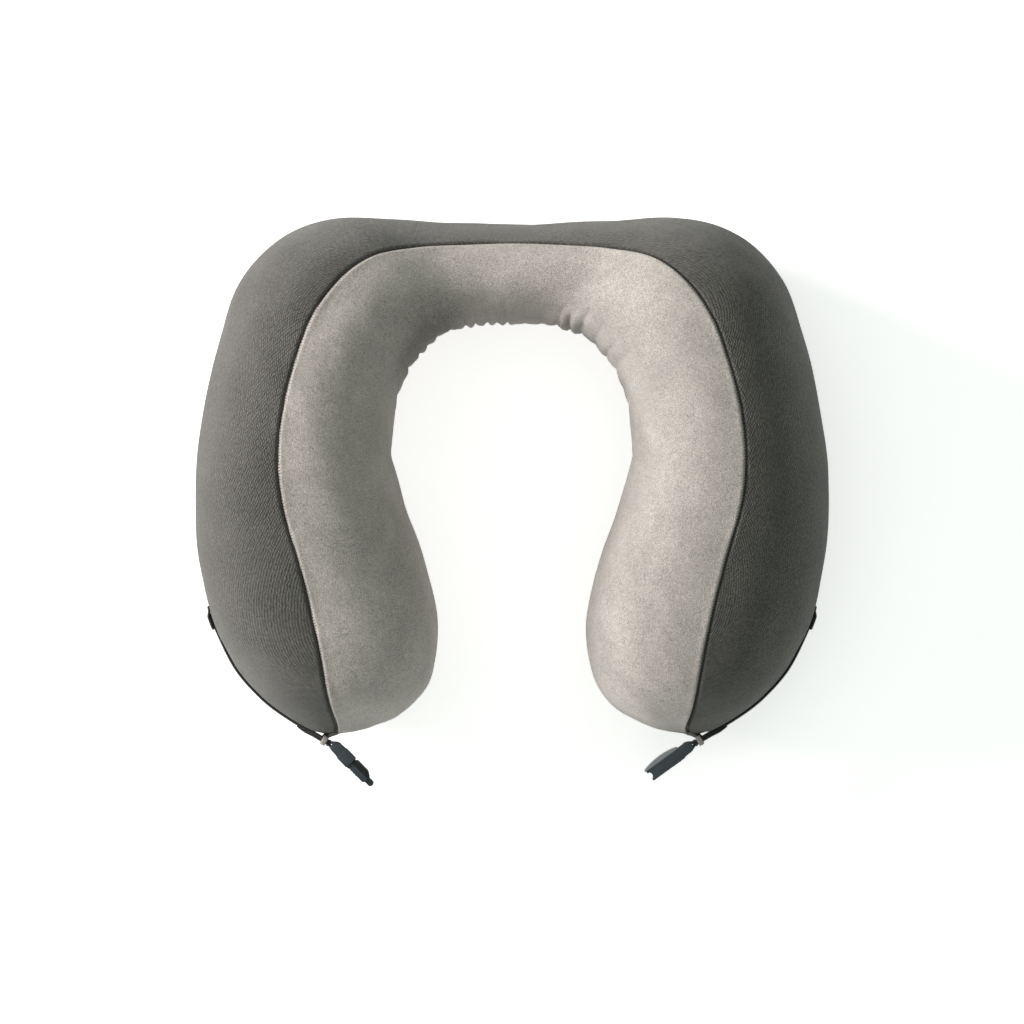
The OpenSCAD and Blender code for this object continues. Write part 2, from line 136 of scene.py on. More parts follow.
def raw_point(s, a):
    """The surface before its underside is flattened. a is 0 outside, pi/2 on top and pi at the neck."""
    s, a = np.broadcast_arrays(np.asarray(s, float), np.asarray(a, float))
    q = section(s)
    upper = np.sin(a) >= 0
    power = 2 / np.where(upper, TOP_ROUND, BASE_ROUND)
    across = signed_pow(np.cos(a), power)[..., None]
    plan = (q[..., 0:2] + q[..., 2:4]) / 2 + (q[..., 0:2] - q[..., 2:4]) / 2 * across
    half = (q[..., 5] - q[..., 4]) / 2 + np.where(upper, 0, BASE_FLAT)
    z = (q[..., 4] + q[..., 5]) / 2 + half * signed_pow(np.sin(a), power)
    return np.concatenate([plan, z[..., None]], -1) * MM


def unit(v):
    return v / np.maximum(np.linalg.norm(v, axis=-1, keepdims=True), 1e-12)


def lengths_along(path):
    """The distance along a path of points up to each of them."""
    return np.concatenate([[0], np.cumsum(np.linalg.norm(np.diff(path, axis=0), axis=1))])


def raw_normal(s, a):
    along = raw_point(s - S_STEP, a) - raw_point(s + S_STEP, a)
    return unit(np.cross(along, raw_point(s, a + A_STEP) - raw_point(s, a - A_STEP)))


def edge_side(s):
    """The outward direction in plan at the outer edge."""
    way = unit(section(s + S_STEP)[..., 0:2] - section(s - S_STEP)[..., 0:2])
    return np.stack([-way[..., 1], way[..., 0]], -1)


def surface(s, a):
    """The surface as it rests: flat on the floor."""
    p = raw_point(s, a)
    p[..., 2] = np.maximum(p[..., 2], 0)
    return p


def seam_angle(s, n):
    k = 1 - 2 * section(s)[..., 6]
    return np.arccos(np.sign(k) * np.abs(k) ** (n / 2))


def upper_seam(s):
    return seam_angle(s, TOP_ROUND)


def lower_seam(s):
    return -seam_angle(s, BASE_ROUND)


def angle_at_height(s, z):
    """The angle on the outer lower wall where it is z millimetres high."""
    q = section(s)
    half = (q[..., 5] - q[..., 4]) / 2 + BASE_FLAT
    return -np.arcsin((((q[..., 4] + q[..., 5]) / 2 - z) / half) ** (BASE_ROUND / 2))


# ---------------------------------------------------------------- small mesh helpers
def added(name, data):
    """A new object in the scene."""
    obj = bpy.data.objects.new(name, data)
    bpy.context.scene.collection.objects.link(obj)
    return obj


def piece(name, verts, faces, material, body="pillow", uv=None):
    """A mesh object that rides on a body and takes the given material. uv is one pair for each vertex."""
    mesh = bpy.data.meshes.new(name)
    faces = [tuple(int(i) for i in f) for f in faces]
    mesh.from_pydata(np.asarray(verts).reshape(-1, 3).tolist(), [], faces)
    mesh.validate()
    if uv is not None:
        corners = np.zeros(len(mesh.loops), int)
        mesh.loops.foreach_get("vertex_index", corners)
        layer = mesh.uv_layers.new(name="Cloth")
        layer.data.foreach_set("uv", np.asarray(uv, float).reshape(-1, 2)[corners].ravel())
    mesh.polygons.foreach_set("use_smooth", [True] * len(mesh.polygons))
    obj = added(name, mesh)
    mesh.materials.append(material)
    if body:
        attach(obj, body)
    return obj


def outward(obj):
    """Turns the faces of closed shells outwards."""
    bm = bmesh.new()
    bm.from_mesh(obj.data)
    bmesh.ops.recalc_face_normals(bm, faces=bm.faces)
    bm.to_mesh(obj.data)
    bm.free()


class Pile:
    """Collects the vertices, faces and cloth coordinates of several closed shapes for one piece."""

    def __init__(self):
        self.verts, self.faces, self.uv = [], [], []

    def add(self, verts, faces, uv=None):
        base = len(self.verts)
        verts = np.asarray(verts, float).reshape(-1, 3)
        self.verts.extend(verts.tolist())
        self.faces.extend(tuple(int(i) + base for i in f) for f in faces)
        uv = np.zeros((len(verts), 2)) if uv is None else np.asarray(uv)
        self.uv.extend(uv.reshape(-1, 2).tolist())

    def tube(self, path, radius, sides=8, flat=1.0, up=None):
        """A round-ended thread along a path of points. radius may be one value or one for each point."""
        path = np.asarray(path, float)
        radius = np.broadcast_to(np.asarray(radius, float), len(path))
        way = unit(np.gradient(path, axis=0))
        up = np.array((0.0, 0.0, 1.0)) if up is None else np.asarray(up, float)
        side = np.cross(way, up)
        weak = np.linalg.norm(side, axis=1) < 1e-3
        side[weak] = np.cross(way[weak], np.array((1.0, 0.0, 0.0)))
        side = unit(side)
        over = np.cross(side, way)
        start, end = path[0] - way[0] * radius[0] * 0.7, path[-1] + way[-1] * radius[-1] * 0.7
        path = np.vstack([start, path, end])
        radius = np.concatenate([[radius[0] * 0.5], radius, [radius[-1] * 0.5]])
        side = np.vstack([side[:1], side, side[-1:]])
        over = np.vstack([over[:1], over, over[-1:]])
        turn = (np.arange(sides) * 2 * math.pi / sides)[None, :, None]
        ring = side[:, None] * np.cos(turn) + over[:, None] * np.sin(turn) * flat
        verts = path[:, None] + ring * radius[:, None, None]
        self.add(verts, tube_faces(len(path), sides))

    def piece(self, name, material, slot, body="pillow"):
        return piece(name, self.verts, self.faces, material, body, self.uv)

    def closed_piece(self, name, material, slot, body="pillow"):
        """The same, for closed shells whose faces may have been added inside out."""
        obj = self.piece(name, material, slot, body)
        outward(obj)
        return obj


def ring_faces(rows, sides):
    """Quads between successive closed rings of vertices."""
    return [
        (i * sides + j, i * sides + (j + 1) % sides, (i + 1) * sides + (j + 1) % sides, (i + 1) * sides + j)
        for i in range(rows - 1)
        for j in range(sides)
    ]


def tube_faces(rows, sides):
    """The same with a face over each end."""
    start, end = tuple(range(sides))[::-1], tuple(range((rows - 1) * sides, rows * sides))
    return [*ring_faces(rows, sides), start, end]


def shell_faces(n, m, hole=None):
    """Faces of a closed shell of two n by m layers, the outer first. hole(i, j) names the cells left open."""
    layer = n * m
    solid = np.array([[not (hole and hole(i, j)) for j in range(m - 1)] for i in range(n - 1)])
    faces = []

    def filled(i, j):
        return 0 <= i < n - 1 and 0 <= j < m - 1 and solid[i, j]

    for i in range(n - 1):
        for j in range(m - 1):
            if not solid[i, j]:
                continue
            a = i * m + j
            b, c, d = a + m, a + m + 1, a + 1
            faces.append((a, b, c, d))
            faces.append((a + layer, d + layer, c + layer, b + layer))
            for there, p, q in ((filled(i - 1, j), a, d), (filled(i + 1, j), c, b),
                                (filled(i, j - 1), b, a), (filled(i, j + 1), d, c)):
                if not there:
                    faces.append((p, q, q + layer, p + layer))
    return faces


def grid_normals(p):
    """Outward normals of a grid of points whose first axis runs along the body and second round it."""
    return unit(np.cross(np.gradient(p, axis=1), np.gradient(p, axis=0)))


def bump_at(d, centre, width):
    return np.exp(-(((d - centre) / width) ** 2))


def smooth_step(v, low, high):
    t = np.clip((v - low) / (high - low), 0, 1)
    return t * t * (3 - 2 * t)


def ripple(u, v, waves):
    """A smooth irregular field: a sum of fixed sine waves, each (size, wavelength, direction, phase)."""
    total = np.zeros(np.broadcast(u, v).shape)
    for size, length, way, phase in waves:
        total += size * np.sin(TURN * (u * math.cos(way) + v * math.sin(way)) / length + phase)
    return total


# ---------------------------------------------------------------- the cover: two panels sewn along two seams
ALONG = 321
PANEL_T = 1.2 * MM
CLOTH_T = 2.2 * MM
# Half the gap between the panels, and the columns' distances from a seam and from the zip's opening
SEAM_HALF = 0.18 * MM
SEAM_EDGE = np.array((0, 0.3, 0.65, 1.1, 1.7, 2.5, 3.6, 5.0)) * MM
ZIP_EDGE = np.array((0, 0.35, 0.8, 1.4, 2.2)) * MM
# The opening ends where the outer edge is at x 65, and its middle is ZIP_Z high
ZIP_END_S = 2 + (65 - 50) / (76 - 50)
ZIP_Z = 14
ZIP_GAP = 9.6
# Columns of the neck panel, and of the outer panel below the zip's opening, across it and above it
NECK_COLS = 65
LOW_COLS = 17
GAP_COLS = 5
TOP_COLS = 45
GAP_FIRST = LOW_COLS - 1
GAP_LAST = LOW_COLS + GAP_COLS - 2
TIP_RINGS = (86, 68, 47, 24)


def even_stations():
    """Stations whose spacing follows the gathers at the back of the neck and is coarser along the arms."""
    s = np.linspace(0, TIP_S, 3001)
    q = section(s) * MM
    outer = np.linalg.norm(np.diff(q[:, 0:2], axis=0), axis=1)
    inner = np.linalg.norm(np.diff(q[:, 2:4], axis=0), axis=1)
    fine = MM * (1.0 + 1.4 * smooth_step(s[1:], 4.5, 7))
    steps = np.maximum(inner / fine, outer / (2.4 * MM))
    total = np.concatenate([[0], np.cumsum(steps)])
    half = np.interp(np.linspace(0, total[-1], ALONG // 2 + 1), total, s)
    return np.concatenate([-half[:0:-1], half])


def arc_of(s, a_from, a_to, samples=200):
    """Angles from a_from to a_to at one station, and the length of the surface's arc up to each."""
    a = np.linspace(a_from, a_to, samples)
    return a, lengths_along(surface(np.full(samples, s), a))


def spaced(edge_a, edge_b, length, count):
    """count places from 0 to length, close together at both ends as the two lists of distances say."""
    edges = edge_a[-1] + edge_b[-1]
    shrink = min(1, length / (3 * edges)) if edges else 1
    a, b = edge_a * shrink, length - edge_b[::-1] * shrink
    inner = np.linspace(a[-1], b[0], count - len(a) - len(b) + 2)[1:-1]
    return np.concatenate([a, inner, b])


def columns(s, stops, edges, counts):
    """Angles of one station's columns through the stops, and each column's distance round from the first."""
    angles, lengths, base = [], [], 0.0
    for k, count in enumerate(counts):
        a, arc = arc_of(s, stops[k], stops[k + 1])
        at = spaced(edges[k][0], edges[k][1], arc[-1], count)
        keep = slice(0, None) if k == 0 else slice(1, None)
        angles.append(np.interp(at, arc, a)[keep])
        lengths.append((base + at)[keep])
        base += arc[-1]
    return np.concatenate(angles), np.concatenate(lengths)


def seam_step(s, a):
    """The angle that SEAM_HALF covers at a."""
    span = np.linalg.norm(raw_point(s, a + A_STEP) - raw_point(s, a - A_STEP))
    return SEAM_HALF * 2 * A_STEP / span


def neck_columns(s):
    hi, lo = float(upper_seam(s)), float(lower_seam(s)) + 2 * math.pi
    stops = (hi + seam_step(s, hi), lo - seam_step(s, lo))
    return columns(s, stops, [(SEAM_EDGE, SEAM_EDGE)], (NECK_COLS,))


def zip_angles(s):
    """The angles of the opening's two edges. Beyond station 6 they stay as they are there."""
    near = np.asarray(min(abs(float(s)), 6.0))
    return [float(angle_at_height(near, ZIP_Z + side * ZIP_GAP / 2)) for side in (-1, 1)]


def outer_columns(s):
    hi, lo = float(upper_seam(s)), float(lower_seam(s))
    low_edge, top_edge = zip_angles(s)
    stops = (lo + seam_step(s, lo), low_edge, top_edge, hi - seam_step(s, hi))
    plain = np.zeros(1)
    edges = [(SEAM_EDGE, ZIP_EDGE), (plain, plain), (ZIP_EDGE, SEAM_EDGE)]
    return columns(s, stops, edges, (LOW_COLS, GAP_COLS, TOP_COLS))


def panel_grid(stations, columns_at):
    """Angles and distances round from the panel's first seam, as grids of stations by columns."""
    pairs = [columns_at(s) for s in stations]
    return np.array([p[0] for p in pairs]), np.array([p[1] for p in pairs])


CLOTH = {"quality": 6, "mass": 0.25, "tension_stiffness": 18, "compression_stiffness": 18,
         "shear_stiffness": 8, "bending_stiffness": 1.2, "use_pressure": True, "uniform_pressure_force": 4,
         "vertex_group_mass": "sewn"}
CLOTH_FRAMES = 20


def relax(ring, held):
    """How far each point of a ring of cloth moves under a little air pressure. held is 1 where it is sewn."""
    n, m = ring.shape[:2]
    mesh = bpy.data.meshes.new("relaxing")
    mesh.from_pydata(ring.reshape(-1, 3).tolist(), [], tube_faces(n, m))
    obj = added("relaxing", mesh)
    outward(obj)
    group = obj.vertex_groups.new(name="sewn")
    for index, weight in enumerate(held.ravel().tolist()):
        group.add([index], weight, "REPLACE")
    cloth = obj.modifiers.new("Cloth", "CLOTH")
    for key, value in CLOTH.items():
        setattr(cloth.settings, key, value)
    cloth.settings.effector_weights.gravity = 0
    cloth.collision_settings.use_collision = False
    scene = bpy.context.scene
    for number in range(1, CLOTH_FRAMES + 1):
        scene.frame_set(number)
    settled = obj.evaluated_get(bpy.context.evaluated_depsgraph_get()).to_mesh()
    co = np.zeros(len(settled.vertices) * 3)
    settled.vertices.foreach_get("co", co)
    move = co.reshape(n, m, 3) - ring
    scene.frame_set(1)
    bpy.data.objects.remove(obj)
    size = np.linalg.norm(move, axis=2, keepdims=True)
    print("cloth moved at most", round(float(size.max()) / MM, 2), "mm")
    return move * np.minimum(1, CLOTH_T / np.maximum(size, 1e-9))


def refine(field):
    """Doubles a grid's rows and columns, with smooth values between."""
    for axis in (0, 1):
        f = np.moveaxis(field, axis, 0)
        before = np.concatenate([f[:1], f[:-2]])
        after = np.concatenate([f[2:], f[-1:]])
        middle = (9 * (f[:-1] + f[1:]) - before - after) / 16
        out = np.zeros((2 * len(f) - 1, *f.shape[1:]))
        out[0::2] = f
        out[1::2] = middle
        field = np.moveaxis(out, 0, axis)
    return field


# The straps, which the outer panel lies against: height of the middle, half the width, thickness, gap to the
# panel's plain face, and the stations where the strap starts under its anchor and leaves the arm
STRAP_Z = TIP_Z
STRAP_HALF = 7.4
STRAP_T = 1.2
STRAP_GAP = 0.5
STRAP_FROM_S = 10.97
STRAP_LEAVES_S = 15


def anchor_dip(s):
    """How far the sewn-down end of the strap sinks into the arm, in millimetres."""
    return 0.75 * (1 - smooth_step(np.abs(s), 11.25, 12.2))


def strap_zone(s, p):
    """1 where the strap lies against the outer panel."""
    along = smooth_step(np.abs(s), 10.5, 10.9) * (1 - smooth_step(np.abs(s), 14.9, 15.3))
    return along[:, None] * (1 - smooth_step(np.abs(p[..., 2] - STRAP_Z * MM), 8 * MM, 17 * MM))


def to_strap(s, p):
    """How far the panel has to move out for its face to lie just behind the strap's."""
    plan = section(s)[:, 0:2] * MM
    out = np.sum((p[..., 0:2] - plan[:, None]) * edge_side(s)[:, None], -1)
    wanted = (STRAP_GAP - 0.08 - anchor_dip(s))[:, None] * MM
    return np.clip(wanted - out, -1.2 * MM, 1.2 * MM)


# Gathers on the neck side of the back: place along the opening's edge, size, width and lean, in millimetres
GATHERS = [
    (-64, 0.35, 3.6, 2), (-52, 0.8, 3.0, 6), (-43.5, 0.8, 2.0, 7), (-38, 0.5, 2.4, 5), (-33, 0.5, 1.9, 4),
    (-27, 0.6, 2.2, 3), (-20, 0.8, 2.0, 3), (-15.5, 0.9, 1.8, 2), (-10.6, 1.0, 1.7, 1), (-6, 0.6, 1.7, 0),
    (-2.4, 0.9, 1.7, 0), (5.5, 0.25, 2.6, -1), (13, 0.3, 2.8, -2), (19.5, 0.5, 2.2, -3), (25, 1.8, 2.1, -6),
    (30, 0.6, 2.2, -5), (38, 0.4, 2.8, -5), (46, 0.75, 2.4, -7), (52.5, 0.4, 2.6, -6), (61, 0.3, 3.4, -4),
]


def gather_height(edge, share):
    """How far the gathers stand out. edge runs along the opening, share from the upper to the lower seam."""
    total = np.zeros(share.shape)
    for number, (place, size, width, lean) in enumerate(GATHERS):
        reach = 0.15 + 0.022 * (number * 7 % 5)
        over = smooth_step(share, reach, reach + 0.14) * (1 - smooth_step(share, 0.66, 0.92))
        wander = 0.5 * math.sin(number * 2.3) * np.sin(share * 14 + number)
        d = edge / MM - (place + lean * (0.5 - share) * 2 + wander)
        ridge = bump_at(d, -width, 0.75 * width) + 0.85 * bump_at(d, width, 0.8 * width)
        total += size * over * (0.75 * ridge - 1.05 * bump_at(d, 0, 0.42 * width))
    return total * MM


# Lengths of arc between which a panel narrows so far that its waves die out
NARROW = (20 * MM, 60 * MM)


def seam_profile(d, crown, dip, gentle):
    """Height of a panel d from its seam's edge: it rolls down into the seam behind a small crown."""
    rolled = crown * bump_at(d, 1.5 * MM, 1.1 * MM) - dip * bump_at(d, 0, 0.5 * MM)
    return rolled - gentle * np.exp(-d / (3.2 * MM))


def neck_surface(s, a, arc, move):
    """The neck panel's face: settled, waved a little, gathered at the back and rolled into its seams."""
    p = surface(s[:, None], a) + move
    normal = grid_normals(p)
    length = arc[:, -1:]
    run = lengths_along(section(s)[:, 2:4] * MM)
    edge = (run - run[len(run) // 2])[:, None]
    to_seam = np.minimum(arc, length - arc)
    fade = smooth_step(length, *NARROW)
    waves = [(0.16, 31, 0.4, 0.3), (0.13, 19, 1.2, 2.0), (0.12, 43, -0.7, 4.1), (0.07, 11, 0.9, 1.1)]
    height = ripple(edge / MM, arc / MM, waves) * MM * fade
    height += gather_height(edge, arc / length)
    pucker = 1 + 0.25 * np.sin(edge / MM * 0.83) * np.sin(edge / MM * 0.31 + 1)
    height += seam_profile(to_seam, 0.33 * MM, 1.1 * MM, 0.1 * MM) * pucker * (0.4 + 0.6 * fade)
    return p + normal * height[..., None]


def outer_surface(s, a, arc, move):
    """The outer panel's face: settled and waved, except behind the straps, and rolled in at seams and zip."""
    p = surface(s[:, None], a)
    zone = strap_zone(s, p)
    p = p + move * (1 - zone)[..., None]
    normal = grid_normals(p)
    length = arc[:, -1:]
    to_seam = np.minimum(arc, length - arc)
    run = lengths_along(section(s)[:, 0:2])[:, None]
    fade = smooth_step(length, *NARROW)
    waves = [(0.15, 37, 0.2, 0.9), (0.12, 23, 1.0, 2.7), (0.1, 51, -0.5, 1.9)]
    height = ripple(run, arc / MM, waves) * MM * fade * (1 - zone)
    pucker = 1 + 0.2 * np.sin(run * 0.71) * np.sin(run * 0.27 + 2)
    height += seam_profile(to_seam, 0.15 * MM, 1.0 * MM, 0.25 * MM) * pucker * (0.4 + 0.6 * fade)
    height += zone * to_strap(s, p)
    near_zip = (np.abs(s) < ZIP_END_S + 0.25)[:, None]
    low, top = arc[:, GAP_FIRST, None], arc[:, GAP_LAST, None]
    to_zip = np.maximum(np.maximum(low - arc, arc - top), 0)
    rolled = 0.3 * MM * bump_at(to_zip, 1.6 * MM, 1.1 * MM) - 0.62 * MM * bump_at(to_zip, 0, 0.6 * MM)
    height += np.where(near_zip, rolled, 0)
    return p + normal * height[..., None]


def closed_tips(p, ring_low, ring_high):
    """Adds shrinking rings beyond each end, so that the arms end in rounded points."""
    turns = np.radians(TIP_RINGS)
    radius = TIP_R * MM
    ends = []
    for end, near in ((0, 3), (-1, -4)):
        middle = (ring_low[end] + ring_high[end]) / 2
        way = unit(middle - (ring_low[near] + ring_high[near]) / 2)
        rings = [middle + (p[end] - middle) * math.cos(t) + way * radius * math.sin(t) for t in turns]
        ends.append(rings if end == 0 else rings[::-1])
    return np.concatenate([ends[0], p, ends[1]])


def shell_piece(name, p, arc, material, hole=None):
    """A panel of cloth PANEL_T thick whose outer face is the grid p, just off the floor."""
    inner = p - grid_normals(p) * PANEL_T
    inner[..., 2] = np.maximum(inner[..., 2], 0.35 * MM)
    p = p.copy()
    p[..., 2] = np.maximum(p[..., 2], 0.02 * MM)
    uv = np.stack([np.broadcast_to(lengths_along(p[:, 0])[:, None], arc.shape), arc], -1)
    faces = shell_faces(*p.shape[:2], hole)
    return piece(name, np.stack([p, inner]), faces, material, uv=np.stack([uv, uv]))


def padded_ends(arc):
    """The rows of arc lengths with the first and last repeated for the rings at the tips."""
    count = len(TIP_RINGS)
    return np.concatenate([arc[:1]] * count + [arc] + [arc[-1:]] * count)


def build_cover(mats):
    """Both panels. Returns the stations, and the panels' surfaces, for what is sewn to them."""
    s = even_stations()
    neck_a, neck_arc = panel_grid(s, neck_columns)
    outer_a, outer_arc = panel_grid(s, outer_columns)
    neck_move = np.zeros((*neck_a.shape, 3))
    outer_move = np.zeros((*outer_a.shape, 3))
    neck_move, outer_move = settle(s, neck_a, neck_arc, outer_a, outer_arc)
    neck = neck_surface(s, neck_a, neck_arc, neck_move)
    outer = outer_surface(s, outer_a, outer_arc, outer_move)
    middles = (outer[:, 0], outer[:, -1])
    neck_full = closed_tips(neck, *middles)
    outer_full = closed_tips(outer, *middles)
    open_from = len(TIP_RINGS) + int(np.searchsorted(s, -ZIP_END_S))
    open_to = len(TIP_RINGS) + int(np.searchsorted(s, ZIP_END_S)) - 1

    def hole(i, j):
        return open_from <= i < open_to and GAP_FIRST <= j < GAP_LAST

    soft = shell_piece("cover_neck_panel", neck_full, padded_ends(neck_arc), mats["velour"])
    knit = shell_piece("cover_outer_panel", outer_full, padded_ends(outer_arc), mats["knit"], hole)
    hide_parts("neck_panel")
    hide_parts("outer_panel")
    return s, neck, outer


def settle(s, neck_a, neck_arc, outer_a, outer_arc):
    """Runs the cloth on every second station and column of the cover, and returns each panel's offsets."""
    part = slice(None, None, 2)
    parts = [(surface(s[part, None], a[part, part]), arc[part, part]) for a, arc in
             ((outer_a, outer_arc), (neck_a, neck_arc))]
    ring = np.concatenate([p for p, _ in parts], 1)
    held = np.concatenate([held_places(s[part], p, arc) for p, arc in parts], 1)
    move = relax(ring, held)
    split = parts[0][0].shape[1]
    return refine(move[:, split:]), refine(move[:, :split])


def held_places(s, p, arc):
    """How firmly each point is held: at the seams, on the floor, at the tips and round the zip."""
    to_seam = np.minimum(arc, arc[:, -1:] - arc)
    held = bump_at(to_seam, 0, 1.2 * MM)
    held = np.maximum(held, 1 - smooth_step(p[..., 2], 0.5 * MM, 4 * MM))
    held = np.maximum(held, smooth_step(np.abs(s), TIP_S - 1.5, TIP_S - 0.3)[:, None])
    zip_side = (p[..., 1] > 80 * MM) & (p[..., 2] < 30 * MM)
    return np.where(zip_side, 1.0, held)


# ---------------------------------------------------------------- seams
STITCH_PITCH = 1.3 * MM
ALLOWANCE_DEPTH = 1.75 * MM
ALLOWANCE_R = 0.85 * MM
# A stitch over the seam: -1 on the outer panel or 1 on the neck panel, then, in millimetres, how far ahead
# along the seam, how far in from the panel's edge and how far above its face
STITCH = ((-1, -0.5, 0.75, -0.2), (-1, -0.35, 0.4, 0.04), (1, 0, 0.35, 0.1), (1, 0.3, 1.05, 0.08),
          (1, 0.5, 1.6, -0.2))


def seam_line(stations, angle_at, depth):
    """The seam's line at a depth under the surface."""
    a = angle_at(stations)
    p = surface(stations, a) - raw_normal(stations, a) * depth
    p[:, 2] = np.maximum(p[:, 2], depth + 0.1 * MM)
    return p


def resample(path, step):
    """The path's points at even steps."""
    d = lengths_along(path)
    at = np.arange(step / 2, d[-1], step)
    return np.stack([np.interp(at, d, path[:, k]) for k in range(3)], 1)


def across(panel, normals, row, distance, lift):
    """The point of a panel at a fractional row and a distance from its first column, lifted off its face."""
    low = int(row)
    part = row - low
    near = len(SEAM_EDGE) + 1
    line = panel[low, :near] * (1 - part) + panel[low + 1, :near] * part
    place = np.interp(distance, lengths_along(line), np.arange(near))
    step = min(int(place), near - 2)
    point = line[step] + (line[step + 1] - line[step]) * (place - step)
    point = point + normals[low, step] * lift
    point[2] = max(point[2], 0.2 * MM)
    return point


def build_seam(name, s, angle_at, beige, dark, mats):
    """The seam allowance in the ditch between the panels, and its stitches over the beige edge."""
    allowance = Pile()
    allowance.tube(seam_line(s, angle_at, ALLOWANCE_DEPTH), ALLOWANCE_R, 10)
    strip = allowance.piece(name + "_allowance", mats["thread"], "thread")
    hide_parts(name)
    stitches = Pile()
    run = lengths_along(beige[:, 0])
    panels = {-1: (dark, grid_normals(dark)), 1: (beige, grid_normals(beige))}
    for length in np.arange(4 * MM, run[-1] - 4 * MM, STITCH_PITCH):
        path = []
        for side, ahead, inward, lift in STITCH:
            row = np.interp(length + ahead * MM, run, np.arange(len(run)))
            path.append(across(*panels[side], row, inward * MM, lift * MM))
        stitches.tube(path, 0.18 * MM, 5)
    stitches.piece(name + "_stitches", mats["seam_thread"], "thread")


# ---------------------------------------------------------------- hard parts
def prism(outline, low, high, bevel, place, rounds=2):
    """Vertices and faces of an outline (u, v) pulled from low to high along w, with rounded edges."""
    bm = bmesh.new()
    face = bm.faces.new([bm.verts.new((u * MM, v * MM, low * MM)) for u, v in outline])
    pulled = bmesh.ops.extrude_face_region(bm, geom=[face])["geom"]
    for vert in (g for g in pulled if isinstance(g, bmesh.types.BMVert)):
        vert.co.z = high * MM
    return rounded(bm, bevel, place, rounds)


def framed(outer, inner, low, high, bevel, place):
    """The same for an outline with a hole: two loops of as many points."""
    bm = bmesh.new()
    loops = [[bm.verts.new((u * MM, v * MM, w * MM)) for u, v in loop]
             for w in (low, high) for loop in (outer, inner)]
    count = len(outer)
    for k in range(count):
        n = (k + 1) % count
        for a, b in ((0, 1), (1, 3), (3, 2), (2, 0)):
            bm.faces.new((loops[a][k], loops[a][n], loops[b][n], loops[b][k]))
    return rounded(bm, bevel, place, 2)


def rounded(bm, bevel, place, rounds):
    """Rounds every sharp edge and returns the vertices, put in place, and the faces."""
    bmesh.ops.recalc_face_normals(bm, faces=bm.faces)
    sharp = [e for e in bm.edges if len(e.link_faces) == 2 and e.calc_face_angle() > math.radians(28)]
    bmesh.ops.bevel(bm, geom=sharp, offset=bevel * MM, segments=rounds, profile=0.6, affect="EDGES",
                    clamp_overlap=True)
    bm.verts.index_update()
    verts = place(np.array([v.co for v in bm.verts]))
    faces = [[v.index for v in f.verts] for f in bm.faces]
    bm.free()
    return verts, faces


def hard_piece(pile, name, material, slot, body):
    """A piece whose edges stay crisp where they aren't rounded."""
    obj = pile.closed_piece(name, material, slot, body)
    obj.data.set_sharp_from_angle(angle=math.radians(32))
    return obj


def arc(u, v, r, start, end, count=9):
    """Points of an arc, with its angles in degrees."""
    turns = np.radians(np.linspace(start, end, count))
    return [(u + r * math.cos(t), v + r * math.sin(t)) for t in turns]


def rounded_box(u0, u1, v0, v1, r):
    """Points of a rectangle with rounded corners."""
    corners = ((u1 - r, v0 + r, -90), (u1 - r, v1 - r, 0), (u0 + r, v1 - r, 90), (u0 + r, v0 + r, 180))
    return [p for u, v, turn in corners for p in arc(u, v, r, turn, turn + 90, 5)]


# ---------------------------------------------------------------- zip
ZIP_AXIS_Y = JOINTS["zip_slide"]["pos_m"][1]
ZIP_WALL = np.asarray(angle_at_height(np.zeros(1), ZIP_Z))
ZIP_R = ZIP_AXIS_Y - raw_point(np.zeros(1), ZIP_WALL)[0, 1]
ZIP_OUT = raw_normal(np.zeros(1), ZIP_WALL)[0]
ZIP_TILT = math.atan2(-ZIP_OUT[2], ZIP_OUT[1])
TOOTH_PITCH = 1.3


def zip_point(at):
    """A place on the zip, from its distances along the zip, up the wall and out of the wall."""
    along, up, out = at[..., 0], at[..., 1], at[..., 2]
    r = ZIP_R - up * math.sin(ZIP_TILT) - out * math.cos(ZIP_TILT)
    turn = along / ZIP_R
    z = ZIP_Z * MM + up * math.cos(ZIP_TILT) - out * math.sin(ZIP_TILT)
    return np.stack([r * np.sin(turn), ZIP_AXIS_Y - r * np.cos(turn), z], -1)


def zip_sweep(pile, profile, half_l, steps=120, wave=None):
    """Sweeps a closed profile of (up, out) along the zip."""
    along = np.linspace(-half_l, half_l, steps + 1)
    profile = np.array(profile) * MM
    at = np.zeros((len(along), len(profile), 3))
    at[..., 0] = along[:, None]
    at[..., 1] = profile[None, :, 0]
    at[..., 2] = profile[None, :, 1] + (0 if wave is None else wave(along)[:, None])
    pile.add(zip_point(at), tube_faces(len(along), len(profile)), at[..., 0:2])


def build_tapes(mats):
    """The two woven tapes, with a low bead under the coil's threads."""
    profile = [(0.95, -1.05), (5.9, -1.05), (6.0, -0.8), (5.9, -0.55), (2.9, -0.52), (2.6, -0.44),
               (2.2, -0.44), (1.6, -0.5), (1.0, -0.52), (0.9, -0.8)]
    for side, name in ((1, "zip_tape_upper"), (-1, "zip_tape_lower")):
        pile = Pile()
        zip_sweep(pile, [(side * u, v) for u, v in profile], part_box(name)[1].x)
        tape = pile.closed_piece(name.replace("zip_tape", "tape_of_zip"), mats["zip_tape"], "zip_tape")
        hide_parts(name)


